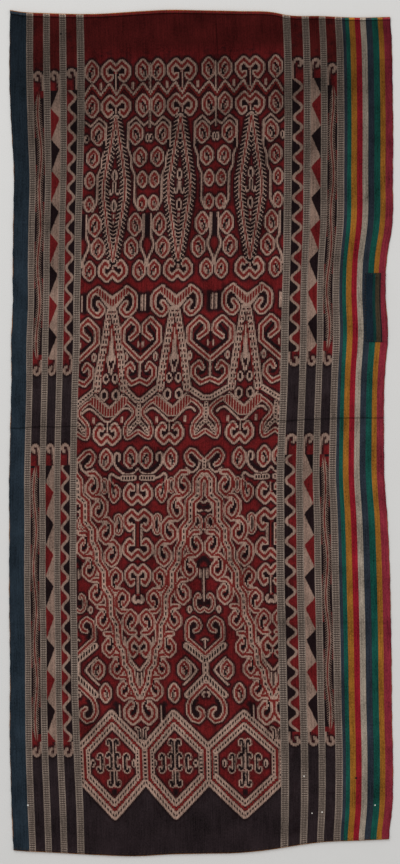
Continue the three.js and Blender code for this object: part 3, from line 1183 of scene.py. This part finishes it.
def paint_sheet(piece, upper, looks, under, lines, rows):
    """Keeps what the material reads on a sheet's face corners, and the loom places as its UV map.

    looks are arrays for the faces on top; under is the ground colour of the rim and the underside."""
    mesh = piece.data
    count = len(mesh.loops)
    for name, fill in {"ground": under, **NO_FIGURE}.items():
        values = np.zeros((count,) + np.shape(fill)) + fill
        if name in looks:
            values[: upper * 4] = looks[name][:, :, (3, 2, 1, 0)].reshape((-1,) + np.shape(fill))
        kind, key = ("FLOAT_VECTOR", "vector") if np.shape(fill) else ("FLOAT", "value")
        layer = mesh.attributes.new(name, kind, "CORNER")
        layer.data.foreach_set(key, np.ravel(values).astype(np.float32))
    over = np.stack(np.meshgrid(lines, rows), axis=-1)
    places = np.concatenate([over.reshape(-1, 2), over[::2, ::2].reshape(-1, 2)])
    vertex = np.empty(count, np.int32)
    mesh.loops.foreach_get("vertex_index", vertex)
    loom = mesh.uv_layers.new(name="loom")
    loom.data.foreach_set("uv", np.ravel(places[vertex] * PICK).astype(np.float32))


class Value:
    """A socket that carries a number, so that shader maths reads as Python."""

    def __init__(self, tree, socket):
        self.tree = tree
        self.socket = socket

    def maths(self, operation, *others, clamp=False):
        """One Math node on this value and the others."""
        node = self.tree.nodes.new("ShaderNodeMath")
        node.operation = operation
        node.use_clamp = clamp
        for socket, value in zip(node.inputs, (self, *others)):
            if isinstance(value, Value):
                self.tree.links.new(value.socket, socket)
            else:
                socket.default_value = float(value)
        return Value(self.tree, node.outputs[0])

    def from_number(self, number):
        """A number as a value of the same tree."""
        node = self.tree.nodes.new("ShaderNodeValue")
        node.outputs[0].default_value = float(number)
        return Value(self.tree, node.outputs[0])

    def __add__(self, other):
        return self.maths("ADD", other)

    def __radd__(self, other):
        return self.maths("ADD", other)

    def __sub__(self, other):
        return self.maths("SUBTRACT", other)

    def __rsub__(self, other):
        return self.from_number(other).maths("SUBTRACT", self)

    def __mul__(self, other):
        return self.maths("MULTIPLY", other)

    def __rmul__(self, other):
        return self.maths("MULTIPLY", other)

    def __truediv__(self, other):
        return self.maths("DIVIDE", other)

    def __rtruediv__(self, other):
        return self.from_number(other).maths("DIVIDE", self)

    def __neg__(self):
        return self.maths("MULTIPLY", -1)

    def __abs__(self):
        return self.maths("ABSOLUTE")

    def __lt__(self, other):
        return self.maths("LESS_THAN", other)

    def __gt__(self, other):
        return self.maths("GREATER_THAN", other)

    def sine(self):
        """The sine of this value."""
        return self.maths("SINE")

    def larger(self, other):
        """The larger of the two."""
        return self.maths("MAXIMUM", other)

    def over(self, low, high):
        """0 below low, 1 above high and a straight rise between."""
        return ((self - low) / (high - low)).maths("ADD", 0.0, clamp=True)


def feed(tree, socket, value):
    """Links a value or a socket, or sets a number, vector or colour."""
    if isinstance(value, Value):
        value = value.socket
    if isinstance(value, bpy.types.NodeSocket):
        tree.links.new(value, socket)
    elif socket.type == "RGBA":
        socket.default_value = (*value[:3], 1.0)
    else:
        socket.default_value = value


def add_node(tree, kind, settings=None, output=0, **values):
    """Adds a node: its settings first, then its sockets' values or links. Returns one output.

    A socket is called by its name, or by _ and its number."""
    node = tree.nodes.new(kind)
    for key, value in (settings or {}).items():
        setattr(node, key, value)
    for key, value in values.items():
        feed(tree, node.inputs[int(key[1:]) if key[0] == "_" else key.replace("_", " ")], value)
    return node.outputs[output]


class Weave:
    """Builds the nodes of one cloth material."""

    def __init__(self, name, roughness):
        self.material = bpy.data.materials.new(name)
        self.material.use_nodes = True
        self.tree = self.material.node_tree
        self.tree.nodes.clear()
        self.shader = self.tree.nodes.new("ShaderNodeBsdfPrincipled")
        self.shader.inputs["Roughness"].default_value = roughness
        self.shader.inputs["Specular IOR Level"].default_value = 0.04
        output = self.tree.nodes.new("ShaderNodeOutputMaterial")
        self.tree.links.new(self.shader.outputs["BSDF"], output.inputs["Surface"])

    def node(self, kind, settings=None, output=0, **values):
        """Adds a node to the material and returns one output."""
        return add_node(self.tree, kind, settings, output, **values)

    def attribute(self, name, output="Vector"):
        """One output of a named attribute of the mesh."""
        return self.node("ShaderNodeAttribute", {"attribute_name": name}, output)

    def parts(self, vector):
        """The three numbers of a vector."""
        node = self.tree.nodes.new("ShaderNodeSeparateXYZ")
        self.tree.links.new(vector, node.inputs[0])
        return [Value(self.tree, socket) for socket in node.outputs]

    def noise(self, place, scale, detail=2.0, rough=0.5):
        """Smooth noise from about 0.2 to 0.8."""
        looks = {"Vector": place, "Scale": scale, "Detail": detail, "Roughness": rough}
        return Value(self.tree, self.node("ShaderNodeTexNoise", None, "Fac", **looks))

    def speckle(self, x, y, detail, rough):
        """Noise about zero over a place that is given by two numbers."""
        return self.noise(self.node("ShaderNodeCombineXYZ", _0=x, _1=y), 1.0, detail, rough) - 0.5

    def mix(self, share, first, second):
        """A mix of two colours."""
        settings = {"data_type": "RGBA", "clamp_factor": True}
        return self.node("ShaderNodeMix", settings, 2, _0=share, _6=first, _7=second)

    def lit(self, colour, amount):
        """A colour made brighter or darker by a number."""
        return self.node("ShaderNodeVectorMath", {"operation": "SCALE"}, _0=colour, Scale=amount)

    def ribs(self, across, down, rib, pick):
        """The height of warp-faced weave: yarns side by side, dipping under at every other pick."""
        odd = (across / (rib * 2)).maths("FLOOR") * 0.5
        yarn = abs((across * (math.pi / rib)).sine())
        dip = (((down / (pick * 2)) + odd) * (2 * math.pi)).sine()
        return yarn * (dip * 0.3 + 0.7)

    def finish(self, colour, height, strength, distance):
        """Feeds the shader its colour and bump."""
        feed(self.tree, self.shader.inputs["Base Color"], colour)
        looks = {"Strength": strength, "Distance": distance, "Height": height}
        feed(self.tree, self.shader.inputs["Normal"], self.node("ShaderNodeBump", **looks))
        return self.material


# The patch's own tones.
PATCH_TONES = {"olive": "3A3024", "deep": "16212A", "teal": "10302D"}


def palette(colours):
    """The cloth's colours by name, as linear triples, with the patch's own tones."""
    tones = {name: tuple(getattr(colours, name)) for name in ClothColours.__annotations__}
    tones.update((name, from_hex(code)) for name, code in PATCH_TONES.items())
    return tones


# Small marks on the cloth, in millimetres: from the left of its box, from its top, half their size.
PALE_SPECKS = (
    (24.7, 1033.5, 1.2),
    (475.8, 1033.5, 1.0),
    (407, 1042.6, 1.1),
    (393.9, 1044, 0.9),
    (383.5, 995.8, 1.0),
)
DARK_SPECKS = ((67.6, 31.2, 1.6), (451.1, 998.4, 1.8))


# Widths of the two bundles of warp that one upright dash and its gap take, in picks.
TWO_BUNDLES = 2.667


def ikat(weave, tones, u, v):
    """The dyed ground with its figures. Returns the colour, and how far each place is cream."""
    away, along, half = weave.parts(weave.attribute("figure"))
    core, dash, halo = weave.parts(weave.attribute("style"))
    ground = weave.attribute("ground")
    pitch = Value(weave.tree, weave.attribute("pitch", "Fac"))
    bundle = (u * 0.95 + 0.3).maths("FLOOR")
    t = abs(away) + weave.speckle(bundle * 3.7, v * 0.3, 2.0, 0.6) * 1.7
    edge = t - half
    cream = 1 - edge.over(-0.45, 0.5)

    core_in = 1 - t.over(core - 0.3, core + 0.45)
    ring = (t + core).over(-0.3, 0.3) * (half - t).over(0.8, 1.4) * (core < -0.01)
    dashed = 1 - t.over(dash - 0.3, dash + 0.3)
    comb = dashed * pulse(u / TWO_BUNDLES, 0.06, 0.18) * (dash > 0.01) * (core > 0.01)
    red = (core_in * (core > 0.01)).larger(ring).larger(comb)

    upright = pulse(u / TWO_BUNDLES, 0.12, 0.24)
    beat = pulse(along / pitch, 0.12, 0.26)
    beat = beat.larger(pitch < JOINED * 2) * (pitch < UPRIGHT / 2) + upright * (pitch > UPRIGHT / 2)
    lean = pulse((along - t * 0.8) / pitch, 0.07, 0.2)
    hatch = (t + dash).over(-0.3, 0.3) * lean * (dash < -0.01)
    dashes = dashed * beat * (dash > 0.01) * (core < 0.01)
    black = dashes.larger(hatch).larger(dash > ALL_INK / 2)

    halo_share = (1 - edge.over(1.1, 3.5)) * halo
    patchy = weave.speckle(u * 0.1, v * 0.085, 2.0, 0.6)
    soaked = patchy.over(0.0, 0.16) * (halo > 0.01)
    shade = weave.mix(soaked * 0.45, ground, tones["ink"])
    shade = weave.mix(halo_share * 0.9, shade, tones["ink"])
    line = weave.mix(red, tones["cream"], tones["madder"])
    line = weave.mix(black, line, tones["ink"])
    return weave.mix(cream, shade, line), cream


def pulse(turns, low, high):
    """A mark in every turn: 0 in its middle and 1 at its ends."""
    return abs(turns.maths("FRACT") - 0.5).over(low, high)


def laddered(weave, shade, tones, v, rung, blotch):
    """Lays the black dots of the ladder stripes over a colour, in the stripes alone."""
    inner = 1 - abs(rung - 0.5).over(0.36, 0.42)
    ladder = inner * pulse(v / 2.3, 0.14, 0.36).larger(pulse(rung * 3.0, 0.34, 0.48))
    banded = weave.mix(ladder * (0.72 + blotch), tones["rung"], tones["ink"])
    return weave.mix(rung > -0.5, shade, banded)


def cotton(name, colours, patch=False):
    """Warp-faced cotton with ikat figures; the patch has only plain stripes."""
    weave = Weave(name, 0.92)
    tones = palette(colours)
    across, down, _ = weave.parts(weave.node("ShaderNodeUVMap", {"uv_map": "loom"}))
    u = across / PICK
    v = down / PICK
    rung = Value(weave.tree, weave.attribute("rung", "Fac"))
    yarns = weave.speckle(u * 0.85, v * 0.03, 3.0, 0.7)
    blotch = weave.speckle(u * 0.035, v * 0.03, 3.0, 0.55)
    fleck = weave.speckle(u * 0.9, v * 0.5, 3.0, 0.75)
    shade, cream = ikat(weave, tones, u, v)
    shade = laddered(weave, shade, tones, v, rung, blotch)
    bright = 1 + yarns * 1.7 + blotch * 1.6 + fleck * 2.2
    if not patch:
        shade = ends(weave, shade, tones, (u, v, blotch))
        # Unfaded hem, painted shade at the hem's step and along the creases, a dark streak and a darker
        # top end.
        bright = bright * wear_and_shade(u, v, blotch, rung, cream)
    x, y, _ = weave.parts(weave.node("ShaderNodeTexCoord", None, "Object"))
    shade = marks(weave, weave.lit(shade, bright), x, y)
    height = weave.ribs(across, down, 0.65 * MM, 1.1 * MM) + fleck * 0.5
    return weave.finish(shade, height, 0.5, 0.12 * MM)


def ends(weave, shade, tones, place):
    """Tan yarn along both cut ends and parts of the selvedges."""
    u, v, blotch = place
    edge_line = (1 - v.over(0.5, 1.1)).larger(v.over(CLOTH_DOWN - 1.1, CLOTH_DOWN - 0.5))
    selvedge = (1 - u.over(0.3, 0.9)).larger(u.over(CLOTH_ACROSS - 0.9, CLOTH_ACROSS - 0.3))
    edge_line = edge_line.larger(selvedge * blotch.over(-0.05, 0.1))
    return weave.mix(edge_line * 0.75, shade, tones["gold"])


# The storage creases down the cloth, along which shade is painted: the sharp middle one and the two soft
# ones, in picks.
MIDDLE_CREASE = 417
SOFT_CREASES = (213, 614)


def wear_and_shade(u, v, blotch, rung, cream):
    """How much brighter or darker each place is: unfaded hem, painted shade at the hem's step and along
    the creases, a dark streak, darker towards the top.
    """
    hem = 1 - v.over(2.9, 3.5)
    # Painted shadow: a dark line just below the top hem's step, left off the ladder stripes.
    hem_step_shadow = v.over(3.2, 3.6) * (1 - v.over(4.2, 4.8)) * (rung < -0.5)
    # Painted shade along the storage creases: a dark line at the middle one, fainter ones at the two soft
    # ones.
    crease_shade = 1 - abs(v - MIDDLE_CREASE + u * 0.01 - blotch * 6).over(0.3, 1.2)
    crease_shade = crease_shade * 0.5
    for crease in SOFT_CREASES:
        crease_shade = crease_shade + (1 - abs(v - crease).over(0.3, 1.6)) * 0.12
    streak = (1 - abs(u - 204).over(0.3, 1.1)) * (1 - abs(v - 28).over(12, 20))
    beyond_field = abs(u - FIELD_START - FIELD_WIDTH / 2) > FIELD_WIDTH / 2
    share = (0.54 + v.over(60, 290) * 0.46) * (1 - cream * beyond_field * 0.25)
    return share * (1 + hem * 2.0) * (1 - hem_step_shadow * 0.5) * (1 - crease_shade) * (1 - streak * 0.4)


def marks(weave, shade, x, y):
    """Adds the small specks and stains, by their distance from named places."""
    low, high = CAD_BOX
    for specks, colour in ((PALE_SPECKS, (0.75, 0.72, 0.66)), (DARK_SPECKS, (0.01, 0.008, 0.008))):
        found = None
        for left, top, size in specks:
            dx = x - (low[0] + left * MM)
            dy = y - (high[1] - top * MM)
            near = 1 - ((dx * dx + dy * dy) / (size * MM) ** 2).over(0.3, 1.0)
            found = near if found is None else found.larger(near)
        shade = weave.mix(found, shade, colour)
    return shade


def thread_finish(colours):
    """Sewing thread: dull cotton with a fine twist."""
    weave = Weave("sewing_thread", 0.85)
    place = weave.node("ShaderNodeTexCoord", None, "Object")
    tone = weave.noise(place, 900.0, 2.0, 0.6)
    x, y, _ = weave.parts(place)
    twist = ((x + y) * (2 * math.pi / (0.5 * MM))).sine() * 0.5 + 0.5
    colour = weave.lit(tuple(colours.thread), 0.75 + tone * 0.5)
    return weave.finish(colour, twist, 0.4, 0.08 * MM)


# Stripes of the patch from its left edge, in picks: colour, width, cells.
PATCH_STRIPES = (
    ("deep", 8.0, 4),
    ("teal", 3.0, 1),
    ("olive", 4.5, 2),
    ("dusk", 1.5, 1),
    ("pink", 5.0, 2),
)


def make_patch(sizes, colours):
    """The repair patch, cut from striped cloth and laid over the right selvedge."""
    wide = sum(width for _, width, _ in PATCH_STRIPES)
    lines = cell_lines(PATCH_STRIPES)
    lines = np.concatenate([[0.0, 0.35], lines[1:-1], [wide - 0.35, wide]])
    lines = np.insert(lines, 3, (lines[2] + lines[3]) / 2)
    if len(lines) % 2 == 0:
        lines = np.insert(lines, -2, (lines[-2] + lines[-3]) / 2)
    top = PATCH_TOP * MM / PICK
    bottom = PATCH_BOTTOM * MM / PICK
    high = bottom - top
    rows = np.concatenate([[0.0, 0.35], np.linspace(1.2, high - 1.2, 57), [high - 0.35, high]])
    u, v = np.meshgrid(lines, rows)
    right = through(LIE, 4, top + v) - 0.7
    left = PATCH_LEFT * MM / PICK
    x = left + (right - left) * u / wide + 0.25 * np.sin(v / 9 + 1) * (1 - u / wide)
    bow = 1.2 * (u / wide) * (1 - u / wide) * smooth(0.5, 1.0, v / high)
    y = top + v + bow - 0.5 * (u / wide - 0.5) * (1 - v / high)
    bx, by = to_box(x, y)
    puffed = bump_over(u - wide / 2, wide * 0.55) * bump_over(v - high / 2, high * 0.55)
    ripple = 0.12 * MM * np.sin(v / 2.2 + u / 5) * (1 - bump_over(u - wide / 2, wide * 0.5))
    foot = sizes.thickness + sizes.patch_gap + 0.15 * MM * puffed + np.zeros(u.shape)
    face = foot + sizes.patch_thickness + ripple * 0.5
    piece, upper = sheet_shell("patch_sheet", bx, by, face, foot, rim=0.4)
    tones = np.zeros((len(rows) - 1, len(lines) - 1, 4, 3))
    bounds = np.cumsum([width for _, width, _ in PATCH_STRIPES])
    for column, middle in enumerate(between(lines)):
        tones[:, column] = colours[PATCH_STRIPES[int(np.searchsorted(bounds, middle))][0]]
    paint_sheet(piece, upper, {"ground": tones}, colours["deep"], lines, rows)
    return piece


def stitch_tree():
    """A node tree that sews a row of stitches along a path: arcs of thread that dip into the cloth."""
    tree = bpy.data.node_groups.new("sewn_row", "GeometryNodeTree")
    face = tree.interface
    face.new_socket("Geometry", in_out="INPUT", socket_type="NodeSocketGeometry")
    for name, value in (("Pitch", 5.0), ("Length", 2.6), ("Rise", 0.35), ("Thread", 0.22)):
        socket = face.new_socket(name, in_out="INPUT", socket_type="NodeSocketFloat")
        socket.default_value = value * MM
        socket.subtype = "DISTANCE"
    turn = face.new_socket("Turn", in_out="INPUT", socket_type="NodeSocketFloat")
    turn.subtype = "ANGLE"
    face.new_socket("Material", in_out="INPUT", socket_type="NodeSocketMaterial")
    face.new_socket("Geometry", in_out="OUTPUT", socket_type="NodeSocketGeometry")

    node = partial(add_node, tree)
    given = tree.nodes.new("NodeGroupInput").outputs
    stitch = one_stitch(node, Value(tree, given["Length"]), Value(tree, given["Rise"]), given["Thread"])
    path = node("GeometryNodeMeshToCurve", Mesh=given["Geometry"])
    spaced = node("GeometryNodeResampleCurve", {"mode": "LENGTH"}, Curve=path, Length=given["Pitch"])
    along = {"Vector": node("GeometryNodeInputTangent")}
    facing = node("FunctionNodeAlignEulerToVector", {"axis": "X", "pivot_axis": "Z"}, **along)
    wander = node("FunctionNodeRandomValue", {"data_type": "FLOAT"}, 1, Min=-0.14, Max=0.14, Seed=7)
    spin = node("ShaderNodeCombineXYZ", _2=Value(tree, given["Turn"]) + Value(tree, wander))
    local = {"rotation_type": "EULER", "space": "OBJECT"}
    turned = node("FunctionNodeRotateEuler", local, Rotation=facing, Rotate_By=spin)
    stretch = node("FunctionNodeRandomValue", {"data_type": "FLOAT"}, 1, Min=0.8, Max=1.15, Seed=11)
    looks = {"Rotation": turned, "Scale": node("ShaderNodeCombineXYZ", _0=stretch, _1=1.0, _2=1.0)}
    sewn = node("GeometryNodeInstanceOnPoints", Points=spaced, Instance=stitch, **looks)
    real = node("GeometryNodeRealizeInstances", Geometry=sewn)
    done = node("GeometryNodeSetMaterial", Geometry=real, Material=given["Material"])
    tree.links.new(done, tree.nodes.new("NodeGroupOutput").inputs[0])
    return tree


def one_stitch(node, length, rise, thread):
    """An arc of thread whose ends are sunk in the cloth."""
    half = length * 0.5
    sunk = rise * -0.8
    bend = {"Start": node("ShaderNodeCombineXYZ", _0=-half, _2=sunk)}
    bend["Middle"] = node("ShaderNodeCombineXYZ", _2=rise * 2.0)
    bend["End"] = node("ShaderNodeCombineXYZ", _0=half, _2=sunk)
    arc = node("GeometryNodeCurveQuadraticBezier", Resolution=6, **bend)
    ring = node("GeometryNodeCurvePrimitiveCircle", Resolution=6, Radius=thread)
    return node("GeometryNodeCurveToMesh", Curve=arc, Profile_Curve=ring, Fill_Caps=True)


def sew(name, points, tree, values):
    """Runs the stitch tree along a path and keeps the result as a plain mesh."""
    mesh = bpy.data.meshes.new(name + "_path")
    mesh.from_pydata([tuple(p) for p in points], [(k, k + 1) for k in range(len(points) - 1)], [])
    path = bpy.data.objects.new(name + "_path", mesh)
    bpy.context.scene.collection.objects.link(path)
    rows = path.modifiers.new("sewn_row", "NODES")
    rows.node_group = tree
    for item in tree.interface.items_tree:
        if item.in_out == "INPUT" and item.name in values:
            rows[item.identifier] = values[item.name]
    graph = bpy.context.evaluated_depsgraph_get()
    made = bpy.data.meshes.new_from_object(path.evaluated_get(graph), depsgraph=graph)
    made.name = name
    bpy.data.objects.remove(path)
    bpy.data.meshes.remove(mesh)
    return made


def join_meshes(name, meshes, material):
    """One object from several plain meshes."""
    points = []
    faces = []
    start = 0
    for mesh in meshes:
        points += [tuple(v.co) for v in mesh.vertices]
        faces += [tuple(start + i for i in p.vertices) for p in mesh.polygons]
        start += len(mesh.vertices)
        bpy.data.meshes.remove(mesh)
    whole = bpy.data.meshes.new(name)
    whole.from_pydata(points, [], faces)
    whole.polygons.foreach_set("use_smooth", [True] * len(whole.polygons))
    whole.materials.append(material)
    piece = bpy.data.objects.new(name, whole)
    bpy.context.scene.collection.objects.link(piece)
    return piece


def hem_path(sizes, top):
    """Points along the hem's stitching, on the face of the cloth."""
    depth = sizes.hem_depth / PICK
    u = np.linspace(3, CLOTH_ACROSS - 3, 150)
    line = depth - 1.1 if top else CLOTH_DOWN - depth + 1.1
    x, y = laid(u, np.full(u.shape, line))
    height = lift(sizes, x * PICK / MM, y * PICK / MM) * MM
    bx, by = to_box(x, y)
    return np.stack([bx, by, height + sizes.hem_thickness], axis=-1)


def patch_path(sizes):
    """Points round the patch, just inside its edge."""
    top = PATCH_TOP * MM / PICK + 0.9
    bottom = PATCH_BOTTOM * MM / PICK - 0.9
    left = PATCH_LEFT * MM / PICK + 0.5
    down = np.linspace(top, bottom, 40)
    right = through(LIE, 4, down) - 1.5
    back = slice(-2, 0, -1)
    over = np.linspace(right[0], left, 16)
    under = np.linspace(left, right[-1], 16)
    x = np.concatenate([over, np.full(38, left), under, right[back]])
    y = np.concatenate([np.full(16, top), down[1:-1], np.full(16, bottom), down[back]])
    bx, by = to_box(x, y)
    height = np.full(len(x), sizes.thickness + sizes.patch_gap + sizes.patch_thickness - 0.1 * MM)
    return np.stack([bx, by, height], axis=-1)


class IKATCLOTH_OT_cloth(bpy.types.Operator):
    """Weaves the cloth with its figures and lays it out"""

    bl_idname = "ikatcloth.cloth"
    bl_label = "Cloth"

    def execute(self, context):
        """Builds the cloth over its CAD solid."""
        sizes = context.scene.cloth_sizes
        colours = context.scene.cloth_colours
        piece = make_cloth(sizes, palette(colours))
        piece.data.materials.append(cotton("ikat_cotton", colours))
        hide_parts("cloth")
        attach(piece, "root")
        return {"FINISHED"}


class IKATCLOTH_OT_patch(bpy.types.Operator):
    """Cuts the repair patch and lays it on the right selvedge"""

    bl_idname = "ikatcloth.patch"
    bl_label = "Repair patch"

    def execute(self, context):
        """Builds the patch over its CAD solid."""
        sizes = context.scene.cloth_sizes
        colours = context.scene.cloth_colours
        piece = make_patch(sizes, palette(colours))
        piece.data.materials.append(cotton("patch_cotton", colours, patch=True))
        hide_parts("patch")
        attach(piece, "root")
        return {"FINISHED"}


class IKATCLOTH_OT_sewing(bpy.types.Operator):
    """Sews both hems and the edge of the patch"""

    bl_idname = "ikatcloth.sewing"
    bl_label = "Sewing"

    def execute(self, context):
        """Builds the stitches."""
        sizes = context.scene.cloth_sizes
        material = thread_finish(context.scene.cloth_colours)
        tree = stitch_tree()
        hem = {"Pitch": sizes.hem_stitch, "Length": 2.4 * MM, "Thread": 0.2 * MM, "Turn": 0.5}
        edge = {"Pitch": sizes.patch_stitch, "Length": 2.0 * MM, "Thread": 0.18 * MM, "Turn": 1.3}
        hem["Rise"] = edge["Rise"] = 0.3 * MM
        rows = [sew("hem_row", hem_path(sizes, top), tree, hem) for top in (True, False)]
        rows.append(sew("patch_row", patch_path(sizes), tree, edge))
        piece = join_meshes("sewing", rows, material)
        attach(piece, "root")
        return {"FINISHED"}


# The camera's place, in metres, and its focal length, in millimetres: the photo's view.
CAMERA_PLACE = (-0.0012, 0.0014, 3.0)
CAMERA_LENS = 96.15


class IKATCLOTH_OT_stage(bpy.types.Operator):
    """Sets the floor, the lights and the camera straight above"""

    bl_idname = "ikatcloth.stage"
    bl_label = "Stage"

    def execute(self, context):
        """Builds what isn't part of the cloth."""
        scene = context.scene
        floor = make_floor()
        floor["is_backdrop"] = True
        scene.view_settings.view_transform = "Standard"
        world = bpy.data.worlds.new("studio")
        world.use_nodes = True
        world.node_tree.nodes["Background"].inputs["Color"].default_value = (1, 1, 1, 1)
        world.node_tree.nodes["Background"].inputs["Strength"].default_value = 0.55
        scene.world = world
        for name, place, size, power in (
            ("key", (-1.1, 1.5, 2.2), 1.8, 34),
            ("fill", (1.6, -0.6, 2.4), 2.2, 14),
        ):
            add_light(name, place, size, power)
        lens = bpy.data.cameras.new("camera")
        lens.sensor_fit = "VERTICAL"
        lens.sensor_height = 36
        lens.lens = CAMERA_LENS
        lens.clip_end = 20
        camera = bpy.data.objects.new("camera", lens)
        camera.location = CAMERA_PLACE
        scene.collection.objects.link(camera)
        scene.camera = camera
        return {"FINISHED"}


def make_floor():
    """A plain pale floor just under the cloth."""
    level = CAD_BOX[0][2] - 0.4 * MM
    points = [(-4, -4, level), (4, -4, level), (4, 4, level), (-4, 4, level)]
    mesh = bpy.data.meshes.new("floor")
    mesh.from_pydata(points, [], [(0, 1, 2, 3)])
    floor = bpy.data.objects.new("floor", mesh)
    bpy.context.scene.collection.objects.link(floor)
    paint = Weave("floor_paint", 0.9)
    place = paint.node("ShaderNodeTexCoord", None, "Object")
    tone = paint.noise(place, 30.0, 3.0, 0.6) * 0.02 + 0.66
    colour = paint.lit((1.0, 0.99, 0.97), tone)
    mesh.materials.append(paint.finish(colour, paint.noise(place, 600.0), 0.1, 0.1 * MM))
    return floor


def add_light(name, place, size, power):
    """A soft square light that looks at the middle of the cloth."""
    lamp = bpy.data.lights.new(name, "AREA")
    lamp.shape = "SQUARE"
    lamp.size = size
    lamp.energy = power
    light = bpy.data.objects.new(name, lamp)
    light.location = place
    away = math.hypot(place[0], place[1])
    light.rotation_euler = (math.atan2(away, place[2]), 0, math.atan2(place[0], -place[1]))
    bpy.context.scene.collection.objects.link(light)


class IKATCLOTH_PT_panel(bpy.types.Panel):
    """Lists the pieces of the cloth in the sidebar"""

    bl_idname = "IKATCLOTH_PT_panel"
    bl_label = "Ikat Cloth"
    bl_space_type = "VIEW_3D"
    bl_region_type = "UI"
    bl_category = "Ikat Cloth"

    def draw(self, context):
        """Draws a button for each piece, then the sizes and colours."""
        for step in STEPS:
            self.layout.operator(step.bl_idname)
        for group in (context.scene.cloth_sizes, context.scene.cloth_colours):
            for name in group.__annotations__:
                self.layout.prop(group, name)


STEPS = (IKATCLOTH_OT_cloth, IKATCLOTH_OT_patch, IKATCLOTH_OT_sewing, IKATCLOTH_OT_stage)
CLASSES = (ClothSizes, ClothColours, *STEPS, IKATCLOTH_PT_panel)


def register():
    """Adds the add-on's classes and the scene's settings."""
    for item in CLASSES:
        bpy.utils.register_class(item)
    bpy.types.Scene.cloth_sizes = bpy.props.PointerProperty(type=ClothSizes)
    bpy.types.Scene.cloth_colours = bpy.props.PointerProperty(type=ClothColours)


def unregister():
    """Takes the scene's settings and the add-on's classes away again."""
    del bpy.types.Scene.cloth_colours
    del bpy.types.Scene.cloth_sizes
    for item in reversed(CLASSES):
        bpy.utils.unregister_class(item)


def main():
    """Builds every piece."""
    register()
    bpy.ops.ikatcloth.cloth()
    bpy.ops.ikatcloth.patch()
    bpy.ops.ikatcloth.sewing()
    bpy.ops.ikatcloth.stage()
    boxes = {"cad": CAD_BOX, "visual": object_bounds()}
    sizes = {name: [[float(n) for n in corner] for corner in box] for name, box in boxes.items()}


if __name__ == "__main__":
    main()
